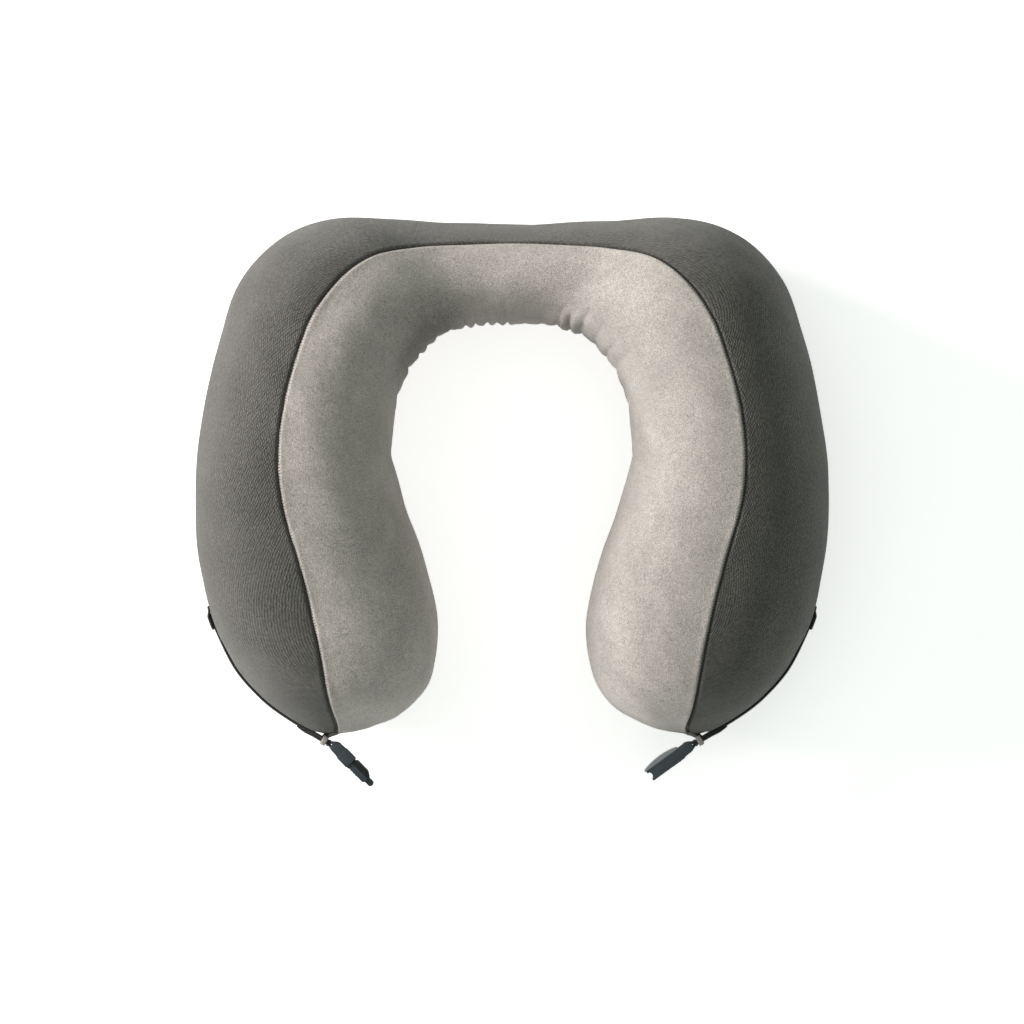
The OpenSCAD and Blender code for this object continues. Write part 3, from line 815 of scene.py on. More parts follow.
def build_coils(mats):
    """Two rows of moulded coil turns that meet in the middle, each held down by two lines of thread."""
    wire = np.array((0.26, 0.29, 0.3, 0.31, 0.36, 0.26)) * MM
    line = np.array([(0.13 * math.cos(t), 0.13 * math.sin(t)) for t in np.linspace(0, TURN, 7)[:-1]])
    for side, name in ((1, "zip_coil_upper"), (-1, "zip_coil_lower")):
        half_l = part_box(name)[1].x / MM - 0.3
        pile = Pile()
        count = int(2 * half_l / TOOTH_PITCH)
        for k in range(count):
            at = -half_l + (k + (0.25 if side > 0 else 0.75)) * TOOTH_PITCH
            turn = [(at - 0.2, side * 2.2, -0.25), (at - 0.12, side * 2.28, 0.3), (at, side * 1.7, 0.72),
                    (at, side * 0.7, 0.74), (at, -side * 0.1, 0.62), (at + 0.05, -side * 0.32, 0.1)]
            pile.tube(zip_point(np.array(turn) * MM), wire, 7)
        coil = pile.piece(name.replace("zip_coil", "coil_of_zip"), mats["zip_coil"], "zip_coil")
        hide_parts(name)
        thread = Pile()
        for up in (1.25, 1.95):
            zip_sweep(thread, line + (side * up, 1.02), half_l * MM, 600,
                      lambda a: 0.05 * MM * np.cos(a / MM * 2 * math.pi / TOOTH_PITCH))
        thread.closed_piece(name + "_thread", mats["thread"], "thread")


def build_stops(mats):
    """One stop across both coils where the zip begins, and one on each coil where it ends."""
    half_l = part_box("zip_stops")[1].x / MM
    pile = Pile()
    for at, sides in ((-half_l + 1.25, (0,)), (half_l - 1.25, (-1, 1))):
        for side in sides:
            reach = (-2.2, 2.2) if side == 0 else sorted((side * 0.75, side * 2.25))
            outline = rounded_box(at - 1.15, at + 1.15, *reach, 0.3)
            pile.add(*prism(outline, -0.42, 1.0, 0.22, zip_point))
    stops = hard_piece(pile, "stops_of_zip", mats["zip_metal"], "zip_metal", "pillow")
    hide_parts("zip_stops")


def slider_place():
    """Local places on the slider are measured from the middle of its plates."""
    start = JOINTS["zip_pull_turn"]["pos_m"][0] / MM
    return lambda at: zip_point(at + np.array((start * 1.0034 * MM, 0, 0)))


def build_slider(mats):
    """Two waisted plates joined by a post, side walls on the upper plate, and the bridge for the pull."""
    place = slider_place()
    plate = [(-4.4, -1.6), (-3.6, -2.6), (-1.5, -3.1), (1.5, -3.5), (3.6, -3.45), (4.4, -2.5), (4.0, -0.7),
             (3.5, 0), (4.0, 0.7), (4.4, 2.5), (3.6, 3.45), (1.5, 3.5), (-1.5, 3.1), (-3.6, 2.6), (-4.4, 1.6)]
    pile = Pile()
    pile.add(*prism(plate, 1.36, 2.25, 0.3, place, 3))
    under = [(u * 0.78 + 0.2, v * 0.72) for u, v in plate]
    pile.add(*prism(under, -2.08, -1.42, 0.2, place))
    for side in (-1, 1):
        wall = [(-3.4, 2.75), (3.4, 2.75), (3.5, 3.3), (1.4, 3.45), (-1.4, 3.1), (-3.3, 2.95)]
        pile.add(*prism([(u, side * v) for u, v in wall], -0.12, 1.7, 0.12, place))
    pile.add(*prism(rounded_box(0.6, 2.9, -0.34, 0.34, 0.2), -1.7, 1.6, 0.05, place))
    outer = [(2.55 * math.cos(t), 1.9 + 2.2 * math.sin(t)) for t in np.linspace(0, math.pi, 17)]
    inner = [(1.75 * math.cos(t), 1.9 + 1.92 * math.sin(t)) for t in np.linspace(math.pi, 0, 17)]
    pile.add(*prism(outer + inner, -0.88, 0.88, 0.16, lambda at: place(at[..., [0, 2, 1]])))
    slider = hard_piece(pile, "slider_of_zip", mats["zip_metal"], "zip_metal", "zip_slider")
    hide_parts("zip_slider")


def ray_to(loop, centre, turns):
    """Where rays from a centre meet a closed loop of points."""
    loop = np.array(loop)
    nxt = np.roll(loop, -1, axis=0)
    hits = []
    for t in turns:
        way = np.array((math.cos(t), math.sin(t)))
        edge = nxt - loop
        away = loop - centre
        cross = way[0] * edge[:, 1] - way[1] * edge[:, 0]
        cross = np.where(np.abs(cross) < 1e-12, 1e-12, cross)
        reach = (away[:, 0] * edge[:, 1] - away[:, 1] * edge[:, 0]) / cross
        part = (away[:, 0] * way[1] - away[:, 1] * way[0]) / cross
        good = (reach > 0) & (part >= -1e-9) & (part <= 1 + 1e-9)
        hits.append(tuple(centre + way * reach[good].min()))
    return hits


def build_pull(mats):
    """A flat tab with an eye round the slider's bridge, waisted in the middle and ribbed at its end."""
    place = slider_place()
    bar_z = 3.15
    tab = [(0.25, -1.9), (0.25, 1.9), (-0.4, 2.25), (-5.2, 2.25), (-9, 1.75), (-12.6, 2.0),
           *arc(-13.8, 0, 2.15, 80, 280, 13), (-12.6, -2.0), (-9, -1.75), (-5.2, -2.25), (-0.4, -2.25)]
    eye = rounded_box(-4.9, -0.7, -1.28, 1.28, 0.6)
    turns = np.linspace(0, TURN, 49)[:-1]
    centre = np.array((-2.8, 0.0))
    loops = [ray_to(loop, centre, turns) for loop in (tab, eye)]
    pile = Pile()
    pile.add(*framed(*loops, bar_z - 0.42, bar_z + 0.42, 0.16, place))
    for at in (-11.2, -12.5, -13.8):
        rib = rounded_box(at - 0.3, at + 0.3, -1.3, 1.3, 0.25)
        pile.add(*prism(rib, bar_z + 0.3, bar_z + 0.62, 0.1, place))
    pile.add(*prism(arc(0, 0, 0.48, 0, 345, 24), -2.1, 2.1, 0.1,
                    lambda at: place(at[..., [0, 2, 1]] + np.array((0, 0, bar_z * MM)))))
    pull = hard_piece(pile, "pull_of_zip", mats["zip_metal"], "zip_metal", "zip_pull")
    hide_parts("zip_pull")


def build_topstitch(s, outer, mats):
    """A line of stitches above and below the zip, through the folded edges of the outer panel."""
    inside = np.flatnonzero(np.abs(s) < ZIP_END_S + 0.06)
    last = len(ZIP_EDGE) - 1
    normal = grid_normals(outer)
    sink = np.array((0.16, 0.04, 0, 0, 0, 0.04, 0.16))[:, None] * MM
    dash = len(sink)
    pile = Pile()
    for column in (GAP_FIRST - last, GAP_LAST + last):
        line = outer[inside, column] + normal[inside, column] * 0.2 * MM
        points = resample(line, 0.4 * MM)
        for k in range(0, len(points) - dash, dash + 1):
            pile.tube(points[k:k + dash] - ZIP_OUT * sink, 0.17 * MM, 6)
    pile.piece("zip_topstitch", mats["seam_thread"], "thread")


# ---------------------------------------------------------------- straps
LOOP_R = 1.95
PIVOT = np.array(JOINTS["clasp_right_swing"]["pos_m"][:2]) / MM
STRAP_STEP = 0.35
STRAP_WAY = np.array(JOINTS["strap_right_stretch"]["axis"][:2])
STRAP_SIDE = np.array((-STRAP_WAY[1], STRAP_WAY[0]))


def beside(s, off):
    """Plan points off millimetres outside the outer edge of the right arm."""
    return section(s)[..., 0:2] + edge_side(s) * off


def exit_point(x, y):
    """Plan points in the strap's own direction: x from the pivot along it, y to its outer side."""
    return PIVOT + np.outer(np.atleast_1d(x), STRAP_WAY) + np.outer(np.atleast_1d(y), STRAP_SIDE)


def catmull_path(points, step):
    """A smooth plan curve through the points, at about even steps."""
    p = np.vstack([2 * points[0] - points[1], points, 2 * points[-1] - points[-2]])
    out = []
    for k in range(1, len(p) - 2):
        count = max(2, int(np.linalg.norm(p[k + 1] - p[k]) / step))
        for u in np.arange(count) / count:
            out.append(catmull_rom(*p[k - 1:k + 3], u))
    return np.array([*out, p[-2]])


def strap_path():
    """From under the anchor, round the arm, to the clasp's bar and back to the end of the fold."""
    places = np.linspace(STRAP_FROM_S - 0.06, STRAP_LEAVES_S, 40)
    along = beside(places, (STRAP_GAP + STRAP_T / 2 - anchor_dip(places))[:, None])
    lift = STRAP_GAP + STRAP_T * np.array((1.5, 1.5, 1.5, 1.45, 1.35, 1.2))[:, None]
    back = beside(np.linspace(STRAP_LEAVES_S, STRAP_LEAVES_S - 0.7, 6), lift)
    near = np.arange(-11, -3.3, 0.7)
    half = STRAP_T / 2
    lead = exit_point((-2.3, -1.25), (-1.05, -1.6))
    loop = exit_point(*zip(*arc(0, 0, LOOP_R, -90, 90, 9)))
    home = exit_point((-1.25, -2.3), (1.6, 1.05))
    outward_run = exit_point(near, np.full(len(near), -half))
    return_run = exit_point(near[::-1], np.full(len(near), half))
    return catmull_path(np.vstack([along, outward_run, lead, loop, home, return_run, back]), STRAP_STEP)


def ribbon(pile, path, half_w, thick, ribs, mirror, thin_end=0.0):
    """Woven band standing on edge along a plan path, with ribs along it and rounded edges."""
    way = unit(np.gradient(path, axis=0))
    side = np.stack([-way[:, 1], way[:, 0]], -1)
    across = np.linspace(-1, 1, 6 * ribs + 1)
    grooves = 0.09 * (1 - np.abs(np.sin(across * math.pi * ribs / 2)))
    swell = thick / 2 * (1 - np.abs(across) ** 10 * 0.75) - grooves
    to_end = np.arange(len(path))[::-1] * STRAP_STEP
    ends = 1 - 0.65 * (1 - smooth_step(to_end, 0, thin_end)) if thin_end else np.ones(len(path))
    rows = []
    for sign, order in ((1, slice(None)), (-1, slice(None, None, -1))):
        off = sign * swell[order][None, :, None] * ends[:, None, None]
        plan = path[:, None] + side[:, None] * off
        height = np.broadcast_to(STRAP_Z + across[order] * half_w, plan.shape[:2])
        rows.append(np.concatenate([plan, height[..., None]], -1))
    verts = np.concatenate(rows, 1) * MM
    verts[..., 0] *= mirror
    length = np.broadcast_to(lengths_along(path)[:, None], verts.shape[:2])
    uv = np.stack([length, verts[..., 2] / MM], -1) * MM
    pile.add(verts, tube_faces(*verts.shape[:2]), uv)


def build_strap(side, mirror, mats):
    """The elastic webbing. Past the tip it follows the clasp's end."""
    pile = Pile()
    ribbon(pile, strap_path(), STRAP_HALF, STRAP_T, 9, mirror, thin_end=4.0)
    strap = pile.closed_piece("strap_webbing_" + side, mats["webbing"], "webbing", body=None)
    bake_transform(strap)
    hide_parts("strap_" + side)


def on_exit(mirror):
    """Places local points: x along the strap's exit, y to its outer side and z up, about the pivot."""
    def place(at):
        x, y = at[..., 0].ravel() / MM, at[..., 1].ravel() / MM
        plan = exit_point(x, y).reshape(*at.shape[:-1], 2) * MM
        plan[..., 0] *= mirror
        return np.concatenate([plan, at[..., 2:3] + STRAP_Z * MM], -1)
    return place


def build_strap_stitches(side, mirror, mats):
    """Two bar tacks through the fold, each a row of close zigzag stitches."""
    place = on_exit(mirror)
    pile = Pile()
    heights = np.linspace(-6, 6, 41)
    zigzag = -3.95 + 0.42 * np.where(np.arange(len(heights)) % 2, 1, -1)
    for face in (-1, 1):
        at = np.stack([zigzag, np.full(len(heights), face * 1.27), heights], -1)
        pile.tube(place(at * MM), 0.16 * MM, 6)
    sewn = pile.closed_piece("strap_bar_tack_" + side, mats["strap_thread"], "thread", "strap_end_" + side)
    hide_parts("strap_stitch_" + side)


def build_anchor(side, mirror, mats):
    """The folded tab that holds the strap's end, sewn round its edge."""
    tab_t = 0.8
    edge = STRAP_HALF - 0.2
    places = np.linspace(STRAP_FROM_S - 0.2, STRAP_FROM_S + 0.25, 24)
    rise = smooth_step(places, STRAP_FROM_S - 0.14, STRAP_FROM_S + 0.01)
    off = (STRAP_GAP + tab_t / 2 - anchor_dip(places) + STRAP_T * rise)[:, None]
    pile = Pile()
    ribbon(pile, beside(places, off), STRAP_HALF + 0.9, tab_t, 13, mirror)
    tab = pile.closed_piece("strap_anchor_tab_" + side, mats["webbing"], "webbing")
    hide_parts("strap_anchor_" + side)
    thread = Pile()
    top = beside(places[1:-1], off[1:-1] + tab_t / 2 + 0.02)
    for z in (-edge, edge):
        line = np.concatenate([top, np.full((len(top), 1), STRAP_Z + z)], 1) * MM
        line[:, 0] *= mirror
        thread.tube(line, 0.15 * MM, 6)
    for end in (top[1], top[7], top[-2]):
        heights = STRAP_Z + np.linspace(-edge, edge, 30)
        line = np.stack([np.full(30, end[0] * mirror), np.full(30, end[1]), heights], -1) * MM
        thread.tube(line, 0.15 * MM, 6, up=(1, 0, 0))
    thread.piece("strap_anchor_thread_" + side, mats["strap_thread"], "thread")


def build_keeper(side, mirror, mats):
    """A narrow band of the neck fabric round the folded strap, with its tail in the tip's seam."""
    place = on_exit(mirror)
    middle = -6.1
    loop = np.array(rounded_box(-1.9, 1.9, -8.2, 8.2, 1.3))
    nxt, last = np.roll(loop, -1, 0), np.roll(loop, 1, 0)
    way = unit(nxt - last)
    out = np.stack([way[:, 1], -way[:, 0]], -1)
    ring = np.linspace(0, TURN, 13)[:-1]
    along, thick = signed_pow(np.cos(ring), 0.6) * 1.15, signed_pow(np.sin(ring), 0.8) * 0.28
    verts = np.zeros((len(loop), len(ring), 3))
    verts[..., 0] = middle + along[None, :]
    verts[..., 1:] = loop[:, None] + out[:, None] * thick[None, :, None]
    count, sides = verts.shape[:2]
    faces = ring_faces(count, sides)
    final = (count - 1) * sides
    faces += [(final + j, final + (j + 1) % sides, (j + 1) % sides, j) for j in range(sides)]
    pile = Pile()
    pile.add(place(verts * MM), faces)
    hole = np.array((TIP[0], TIP[1] + CENTRE_Y))
    hold = exit_point(middle, -1.9)[0]
    route = [hole + (0, 1.5), hole + (0, -0.3), (hole + hold) / 2 + (0, -0.5), hold]
    plan = catmull_path(np.array(route), 0.4)
    tail = np.concatenate([plan * (mirror, 1), np.full((len(plan), 1), STRAP_Z)], 1) * MM
    pile.tube(tail, 0.62 * MM, 12, flat=3.2)
    # The band's velour is the neck fabric painted darker than the neck panel: painted shade
    band = pile.closed_piece("tip_keeper_band_" + side, mats["keeper"], "keeper")
    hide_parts("tip_keeper_" + side)


# ---------------------------------------------------------------- clasp
CLASP_HALF = 9.5


def clasp_place(mirror, joint):
    """Places a clasp half's local points, about its bar: x away from the strap, y to its back and z up."""
    turn = math.radians(180 + JOINTS[joint]["range_deg"][1])

    def place(at):
        x = at[..., 0] * math.cos(turn) - at[..., 1] * math.sin(turn) + PIVOT[0] * MM
        y = at[..., 0] * math.sin(turn) + at[..., 1] * math.cos(turn) + PIVOT[1] * MM
        return np.stack([x * mirror, y, at[..., 2] + STRAP_Z * MM], -1)
    return place


def add_ribs(pile, places, low, high, place):
    """Low upright ribs for the fingers."""
    for at in places:
        pile.add(*prism(rounded_box(at - 0.4, at + 0.4, low, high, 0.2), -5, 5, 0.12, place))


def add_bar_and_cheeks(pile, low_y, high_y, place):
    """The bar the strap loops round, held by a cheek at each end."""
    pile.add(*prism(arc(0, 0, 1.2, 0, 350, 28), -8.8, 8.8, 0.1, place))
    cheek = [*arc(0, 0, 2.4, 105, 250, 13), (3.3, low_y), (3.3, high_y)]
    for low, high in ((-CLASP_HALF + 0.05, -8.0), (8.0, CLASP_HALF - 0.05)):
        pile.add(*prism(cheek, low, high, 0.3, place, 3))


def build_tongue_half(mats):
    """The left half: a block at the bar, a flat tongue that ends in a hook, and a plate on its face whose
    near-black colour is painted shade.
    """
    place = clasp_place(-1, "clasp_left_swing")
    pile = Pile()
    add_bar_and_cheeks(pile, -2.6, 2.6, place)
    block = [(2.95, -2.5), (3.4, -2.9), (8.8, -2.9), (9.3, -2.4), (9.3, 2.5), (8.9, 2.9), (3.4, 2.9),
             (2.95, 2.5)]
    pile.add(*prism(block, -CLASP_HALF, CLASP_HALF, 0.28, place, 3))
    tongue = [(8, -0.5), (19, -0.5), (19, 1.6), (18.3, 2.3), (10.4, 2.3), (9.9, 2.6), (8, 2.6)]
    pile.add(*prism(tongue, -8.6, 8.6, 0.25, place, 3))
    add_ribs(pile, (11.5, 13, 14.5), 2.0, 2.55, place)
    hook = [(18, -1.3), (21.6, -1.25), (22.3, -0.6), (22.5, 0.5), (21.6, 1.45), (18, 1.5)]
    pile.add(*prism(hook, -6.5, 6.5, 0.35, place, 3))
    housing = hard_piece(pile, "clasp_tongue_body", mats["clasp"], "clasp", "clasp_left")
    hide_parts("clasp_left_housing")
    cap = Pile()
    # The plate is a part of its own; its near-black stands in for the shade on this face, turned away from
    # the light: painted shade
    plate = [(3.7, -1.75), (3.7, -2.1), (9.75, -2.1), (10.2, -2.9), (16.6, -2.9), (18.9, -1.6),
             (18.9, -0.55), (9.6, -0.55), (9.6, -1.75)]
    cap.add(*prism(plate, -9.0, 9.0, 0.2, place, 3))
    black = hard_piece(cap, "clasp_tongue_plate", mats["clasp_dark"], "clasp_dark_cap", "clasp_left")
    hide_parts("clasp_left_cap")


def build_receiver_half(mats):
    """The right half: a slot for the tongue, end walls with a rounded notch, and a bowed strip whose pale
    grey is painted highlight.
    """
    place = clasp_place(1, "clasp_right_swing")
    pile = Pile()
    add_bar_and_cheeks(pile, -2.2, 2.6, place)
    shell = [(2.95, -2.3), (20.1, -2.3), (20.5, -1.9), (20.3, -1.1), (13.6, -1.1), (13.6, 1.9), (19.9, 1.9),
             (20.3, 2.2), (20.0, 2.9), (3.5, 2.9), (2.95, 2.4)]
    pile.add(*prism(shell, -CLASP_HALF, CLASP_HALF, 0.25, place, 3))
    wall = [(13, 2.6), (13, -2.0), (20.2, -2.0), *arc(21.1, 0.3, 2.1, 240, 120, 11), (20.1, 2.6)]
    for low, high in ((-CLASP_HALF + 0.06, -7.1), (7.1, CLASP_HALF - 0.06)):
        pile.add(*prism(wall, low, high, 0.12, place))
    add_ribs(pile, (6, 7.5, 9), 2.6, 3.1, place)
    housing = hard_piece(pile, "clasp_receiver_body", mats["clasp"], "clasp", "clasp_right")
    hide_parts("clasp_right_housing")
    # The strip is a part of its own; its pale grey stands in for light on the edge that faces the light:
    # painted highlight
    bow = [(3.4 + 17.5 * t, -3.2 - 1.05 * math.sin(math.pi * t) + 0.35 * abs(2 * t - 1) ** 6)
           for t in np.linspace(0, 1, 15)]
    strip = Pile()
    bow = [(3.4, -2.25), *bow, (20.9, -2.25)]
    strip.add(*prism(bow, -CLASP_HALF + 0.1, CLASP_HALF - 0.1, 0.25, place, 3))
    grey = hard_piece(strip, "clasp_receiver_cover", mats["clasp_grey"], "clasp_grey_cap", "clasp_right")
    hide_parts("clasp_right_cap")


def dress_hidden_parts(mats):
    """The foam, its sleeve and the magnets lie inside the pieces built here, and keep their CAD shapes."""
    for name, look in (("foam_core", "foam"), ("liner_upper", "liner"), ("liner_lower", "liner"),
                       ("clasp_left_magnet", "magnet"), ("clasp_right_magnet", "magnet")):
        for slot in frame["nodes"][name].material_slots:
            slot.material = mats[look]


# ---------------------------------------------------------------- studio
def area_light(name, place, target, size, power, colour):
    light = bpy.data.lights.new(name, "AREA")
    light.shape = "RECTANGLE"
    light.size, light.size_y = size
    light.energy = power
    light.color = colour
    obj = added(name, light)
    obj.location = place
    way = np.array(target) - np.array(place)
    obj.rotation_euler = Vector(way).to_track_quat("-Z", "Y").to_euler()


FLOOR_HALF = 6.0
FLOOR_CELLS = 12
FLOOR_Z = -0.2 * MM


def build_studio(mats):
    """A pale floor, a large soft light from the left, a weaker one from above and a faint surrounding."""
    line = np.linspace(-FLOOR_HALF, FLOOR_HALF, FLOOR_CELLS + 1)
    verts = [(x, y, FLOOR_Z) for y in line for x in line]
    row = len(line)
    starts = [j * row + i for j in range(FLOOR_CELLS) for i in range(FLOOR_CELLS)]
    mesh = bpy.data.meshes.new("studio_floor")
    mesh.from_pydata(verts, [], [(k, k + 1, k + row + 1, k + row) for k in starts])
    mesh.materials.append(mats["floor"])
    floor = added("studio_floor", mesh)
    world = bpy.data.worlds.new("studio")
    world.use_nodes = True
    background = world.node_tree.nodes["Background"]
    background.inputs["Color"].default_value = (0.76, 1.0, 0.84, 1)
    background.inputs["Strength"].default_value = 0.2
    scene = bpy.context.scene
    scene.world = world
    scene.view_settings.view_transform = "Standard"
    middle = (0, 0, 0.05)
    area_light("key_left", (-1.7, 0.55, 0.85), middle, (0.9, 0.9), 58, (1.0, 0.95, 0.93))
    area_light("top_fill", (-0.2, 0.1, 2.4), middle, (2.0, 2.0), 17, (1.0, 0.98, 0.96))


CAMERA_H = 6.0
CAMERA_Y = -3.8 * MM
SENSOR = 36
# The picture is FRAME_W wide at a height of FRAME_Z, about half the pillow's
FRAME_W = 0.44
FRAME_Z = 0.06


def build_camera():
    """Straight above the pillow, with its back at the top of the picture."""
    camera = bpy.data.cameras.new("camera")
    camera.sensor_width = SENSOR
    camera.lens = SENSOR / FRAME_W * (CAMERA_H - FRAME_Z)
    obj = added("camera", camera)
    obj.location = (0, CAMERA_Y, CAMERA_H)
    bpy.context.scene.camera = obj


# ---------------------------------------------------------------- materials
class Look:
    """A material under construction. Where a value goes in, it may be a number or another node's socket."""

    def __init__(self, name, **constants):
        self.material = bpy.data.materials.new(name)
        self.material.use_nodes = True
        self.tree = self.material.node_tree
        self.shader = self.tree.nodes["Principled BSDF"]
        for key, value in constants.items():
            self.shader.inputs[key.replace("_", " ")].default_value = value

    def add(self, kind, out, values=None, **props):
        node = self.tree.nodes.new("ShaderNode" + kind)
        for key, value in props.items():
            setattr(node, key, value)
        for key, value in (values or {}).items():
            self.feed(node.inputs[key], value)
        return node.outputs[out]

    def feed(self, socket, value):
        if isinstance(value, bpy.types.NodeSocket):
            self.tree.links.new(value, socket)
        else:
            socket.default_value = value

    def set(self, name, value):
        self.feed(self.shader.inputs[name], value)

    def coords(self, kind="Object"):
        return self.add("TexCoord", kind)

    def scaled(self, vector, scale, turn=(0, 0, 0)):
        return self.add("Mapping", "Vector", {"Vector": vector, "Scale": scale, "Rotation": turn})

    def noise(self, vector, scale, detail=2.0, rough=0.5, distortion=0.0):
        values = {"Vector": vector, "Scale": scale, "Detail": detail, "Roughness": rough}
        return self.add("TexNoise", "Fac", {**values, "Distortion": distortion})

    def cells(self, vector, scale, randomness):
        values = {"Vector": vector, "Scale": scale, "Randomness": randomness}
        return self.add("TexVoronoi", "Distance", values)

    def math(self, operation, a, b=0.0, c=0.0):
        return self.add("Math", "Value", {0: a, 1: b, 2: c}, operation=operation)

    def times(self, a, b):
        return self.math("MULTIPLY", a, b)

    def times_plus(self, a, b, c):
        return self.math("MULTIPLY_ADD", a, b, c)

    def waves(self, along, pitch):
        """A sine wave along a cloth coordinate, of a pitch in millimetres."""
        return self.math("SINE", self.times(along, TURN / pitch / MM))

    def cloth_coords(self):
        """The cloth's two coordinates, each by itself."""
        split = self.tree.nodes.new("ShaderNodeSeparateXYZ")
        self.feed(split.inputs[0], self.coords("UV"))
        return split.outputs[0], split.outputs[1]

    def worn(self, gain, most):
        """How far outer edges are rubbed, from their pointiness."""
        edge = self.math("SUBTRACT", self.add("NewGeometry", "Pointiness"), 0.5)
        return self.add("Clamp", "Result", {"Value": self.times(edge, gain), "Min": 0.0, "Max": most})

    def ramp(self, fac, stops):
        node = self.tree.nodes.new("ShaderNodeValToRGB")
        elements = node.color_ramp.elements
        while len(elements) < len(stops):
            elements.new(0.5)
        for element, (place, colour) in zip(elements, stops):
            element.position = place
            element.color = (*colour, 1)
        self.feed(node.inputs["Fac"], fac)
        return node.outputs["Color"]

    def shades(self, fac, colour, *stops):
        """A ramp through shades of one colour, each stop a place and how bright it is there."""
        return self.ramp(fac, [(place, shade(colour, k)) for place, k in stops])

    def mix(self, fac, a, b):
        node = self.tree.nodes.new("ShaderNodeMix")
        node.data_type = "RGBA"
        self.feed(node.inputs[0], fac)
        self.feed(node.inputs[6], a)
        self.feed(node.inputs[7], b)
        return node.outputs[2]

    def bump(self, height, distance, strength=1.0, normal=None):
        values = {"Height": height, "Distance": distance, "Strength": strength}
        if normal is not None:
            values["Normal"] = normal
        return self.add("Bump", "Normal", values)


def shade(colour, k):
    return tuple(c * k for c in colour)


def velour_look(name, colour, painted_shade_centre=None):
    """Short pile laid one way: soft patches where it lies differently, and fine speckle.

    The last argument, when given, is a place round which the colour is painted darker: painted shade in the
    hollow at the back of the left neck wall, not a mark on the pillow.
    """
    look = Look(name, Roughness=0.92, Sheen_Weight=0.35, Sheen_Roughness=0.45)
    look.set("Sheen Tint", (0.93, 0.9, 0.86, 1))
    at = look.coords()
    patches = look.noise(at, 48, 3.0, 0.55, 0.4)
    clumps = look.noise(at, 420, 2.0, 0.6, 0.6)
    fibres = look.noise(at, 1900, 2.0, 0.75)
    grains = look.cells(at, 1500.0, 1.0)
    tone = look.times_plus(patches, 0.38, look.times(clumps, 0.26))
    tone = look.times_plus(fibres, 0.9, tone)
    tone = look.times_plus(grains, -0.35, tone)
    # Painted shade: the colour darkens towards the given place, standing in for shade that the lights don't
    # give there
    if painted_shade_centre:
        away = look.add("VectorMath", "Value", {0: at, 1: painted_shade_centre}, operation="DISTANCE")
        reach = {"Value": away, "From Min": 10 * MM, "From Max": 36 * MM, "To Min": 0.42, "To Max": 0.0}
        painted_shade = look.add("MapRange", "Result", reach, interpolation_type="SMOOTHSTEP")
        tone = look.math("SUBTRACT", tone, painted_shade)
    base = look.shades(tone, colour, (0.02, 0.2), (0.28, 0.48), (0.46, 0.85), (0.6, 1), (0.8, 1.45))
    look.set("Base Color", base)
    look.set("Roughness", look.times_plus(fibres, 0.15, 0.82))
    soft = look.bump(clumps, 0.35 * MM, 0.5)
    look.set("Normal", look.bump(fibres, 0.6 * MM, 0.9, soft))
    return look.material


def knit_look(name, colour):
    """Ribbed knit: slanting rows of short raised loops with dark gaps between them."""
    look = Look(name, Roughness=0.9, Sheen_Weight=0.12, Sheen_Roughness=0.5)
    slant = look.scaled(look.coords("UV"), (1 / 1.6 / MM, 1 / 0.82 / MM, 1), (0, 0, math.radians(38)))
    at = look.coords()
    warp = look.noise(at, 420, 1.0, 0.5)
    warp = look.add("CombineXYZ", "Vector", {"X": warp, "Y": warp, "Z": 0.0})
    warp = look.scaled(warp, (0.7, 0.7, 1))
    loops = look.cells(look.add("VectorMath", "Vector", {0: slant, 1: warp}, operation="ADD"), 1.0, 0.3)
    fine = look.noise(at, 1900, 2.0, 0.7)
    broad = look.noise(at, 55, 2.0, 0.5)
    raised = look.math("SUBTRACT", 1.0, look.times(loops, 1.35))
    tone = look.times_plus(raised, 0.5, look.times_plus(fine, 0.42, look.times(broad, 0.2)))
    look.set("Base Color", look.shades(tone, colour, (0.2, 0.22), (0.4, 0.7), (0.58, 1.15), (0.78, 2.1)))
    first = look.bump(raised, 0.45 * MM, 1.0)
    look.set("Normal", look.bump(fine, 0.15 * MM, 0.5, first))
    return look.material


def thread_look(name, colour):
    """Twisted thread."""
    look = Look(name, Roughness=0.7, Sheen_Weight=0.15)
    twist = look.noise(look.scaled(look.coords(), (1, 1, 0.4)), 2600, 2.0, 0.6)
    look.set("Base Color", look.shades(twist, colour, (0.3, 0.6), (0.7, 1.4)))
    look.set("Normal", look.bump(twist, 0.06 * MM, 0.6))
    return look.material


def moulded_look(name, colour, roughness, grain=0.5):
    """Satin moulded plastic with a spark-eroded grain and paler rubbed edges."""
    look = Look(name, Roughness=roughness, Specular_IOR_Level=0.3)
    at = look.coords()
    fine = look.noise(at, 2400, 3.0, 0.6)
    broad = look.noise(at, 180, 2.0, 0.5)
    tone = look.times_plus(fine, 0.4, look.times(broad, 0.6))
    base = look.shades(tone, colour, (0.3, 0.8), (0.7, 1.2))
    look.set("Base Color", look.mix(look.worn(6.0, 0.35), base, (*shade(colour, 2.2), 1)))
    look.set("Roughness", look.times_plus(fine, 0.25, roughness - 0.1))
    look.set("Normal", look.bump(fine, 0.05 * MM, grain))
    return look.material


def webbing_look(name, colour):
    """Woven band: fine crosswise picks over the ribs."""
    look = Look(name, Roughness=0.75, Sheen_Weight=0.15, Sheen_Roughness=0.4)
    along, up = look.cloth_coords()
    weave = look.times_plus(look.times(look.waves(along, 0.55), look.waves(up, 0.8)), 0.5, 0.5)
    fuzz = look.noise(look.coords(), 1800, 2.0, 0.6)
    tone = look.times_plus(fuzz, 0.5, look.times(weave, 0.5))
    look.set("Base Color", look.shades(tone, colour, (0.2, 0.5), (0.5, 1), (0.8, 1.9)))
    look.set("Normal", look.bump(weave, 0.12 * MM, 0.8, look.bump(fuzz, 0.08 * MM, 0.5)))
    return look.material


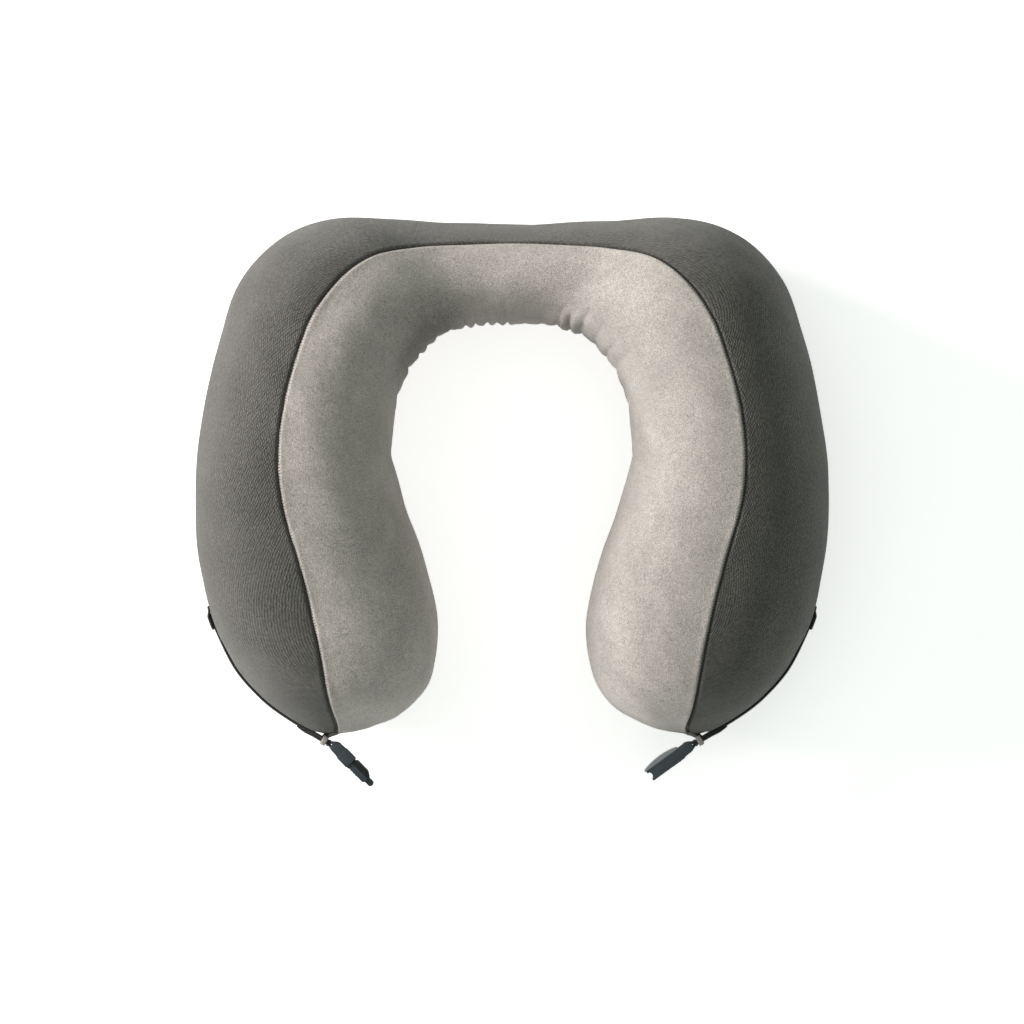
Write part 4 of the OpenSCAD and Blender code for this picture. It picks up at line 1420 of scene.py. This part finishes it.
def tape_look(name, colour):
    """Herringbone zip tape."""
    look = Look(name, Roughness=0.8, Sheen_Weight=0.12)
    along, up = look.cloth_coords()
    slant = look.math("ADD", along, look.math("PINGPONG", up, 1.3 * MM))
    height = look.times_plus(look.waves(slant, 0.6), 0.5, 0.5)
    fuzz = look.noise(look.coords(), 2200, 2.0, 0.6)
    tone = look.times_plus(fuzz, 0.4, look.times(height, 0.6))
    look.set("Base Color", look.shades(tone, colour, (0.2, 0.5), (0.8, 1.6)))
    look.set("Normal", look.bump(height, 0.1 * MM, 0.8))
    return look.material


def metal_look(name, colour, roughness, metallic):
    """Painted or plated metal with faint cast grain and rubbed edges."""
    look = Look(name, Roughness=roughness, Metallic=metallic)
    grain = look.noise(look.coords(), 900, 3.0, 0.6)
    base = look.shades(grain, colour, (0.3, 0.75), (0.7, 1.25))
    look.set("Base Color", look.mix(look.worn(8.0, 0.5), base, (*shade(colour, 4), 1)))
    look.set("Roughness", look.times_plus(grain, 0.3, roughness - 0.12))
    look.set("Normal", look.bump(grain, 0.03 * MM, 0.5))
    return look.material


def foam_look(name, colour):
    """Open-celled foam."""
    look = Look(name, Roughness=0.95)
    cells = look.cells(look.coords(), 900.0, 1.0)
    look.set("Base Color", look.shades(cells, colour, (0.1, 0.6), (0.5, 1)))
    look.set("Normal", look.bump(cells, 0.3 * MM, 0.7))
    return look.material


def floor_look():
    """Pale paper that glows a little, so that the shadow on it stays faint."""
    look = Look("studio_paper", Roughness=0.95)
    grain = look.noise(look.coords(), 9, 2.0, 0.4)
    paper = look.ramp(grain, [(0.0, (0.9, 0.9, 0.9)), (1.0, (0.93, 0.93, 0.93))])
    look.set("Base Color", paper)
    look.set("Emission Color", paper)
    look.set("Emission Strength", 0.68)
    return look.material


def build_materials():
    return {
        # The last value is the centre of the painted shade on the left neck wall
        "velour": velour_look("velour_beige", (0.43, 0.395, 0.37), (-0.045, 0.075, 0.08)),
        "knit": knit_look("knit_dark_grey", (0.077, 0.074, 0.067)),
        "thread": thread_look("thread_black", (0.02, 0.02, 0.02)),
        "seam_thread": thread_look("thread_brown", (0.06, 0.056, 0.05)),
        "strap_thread": thread_look("thread_grey", (0.07, 0.07, 0.07)),
        "webbing": webbing_look("webbing_black", (0.018, 0.019, 0.021)),
        # Painted shade: the keeper is the neck velour made darker so it looks less bright under the key light
        "keeper": velour_look("velour_band_painted_shade", (0.34, 0.315, 0.29)),
        "zip_tape": tape_look("tape_grey", (0.06, 0.06, 0.056)),
        "zip_coil": moulded_look("nylon_black", (0.02, 0.02, 0.02), 0.45),
        "zip_metal": metal_look("painted_metal", (0.035, 0.035, 0.037), 0.42, 0.6),
        "clasp": moulded_look("moulding_blue_grey", (0.024, 0.031, 0.039), 0.45),
        # Near-black for the tongue's plate: painted shade
        "clasp_dark": moulded_look("moulding_black_painted_shade", (0.003, 0.003, 0.0034), 0.55),
        # Pale grey for the receiver's strip: painted highlight
        "clasp_grey": moulded_look("moulding_grey_painted_highlight", (0.15, 0.16, 0.165), 0.34, 0.25),
        "foam": foam_look("foam_ivory", (0.8, 0.77, 0.64)),
        "liner": velour_look("jersey_white", (0.72, 0.72, 0.7)),
        "magnet": metal_look("nickel", (0.5, 0.5, 0.5), 0.3, 1.0),
        "floor": floor_look(),
    }


def main():
    mats = build_materials()
    build_camera()
    s, neck, outer = build_cover(mats)
    build_seam("seam_upper", s, upper_seam, neck, outer[:, ::-1], mats)
    build_seam("seam_lower", s, lower_seam, neck[:, ::-1], outer, mats)
    build_tapes(mats)
    build_coils(mats)
    build_stops(mats)
    build_slider(mats)
    build_pull(mats)
    build_topstitch(s, outer, mats)
    for side, mirror in (("left", -1), ("right", 1)):
        build_strap(side, mirror, mats)
        build_strap_stitches(side, mirror, mats)
        build_anchor(side, mirror, mats)
        build_keeper(side, mirror, mats)
    build_tongue_half(mats)
    build_receiver_half(mats)
    dress_hidden_parts(mats)
    build_studio(mats)


main()
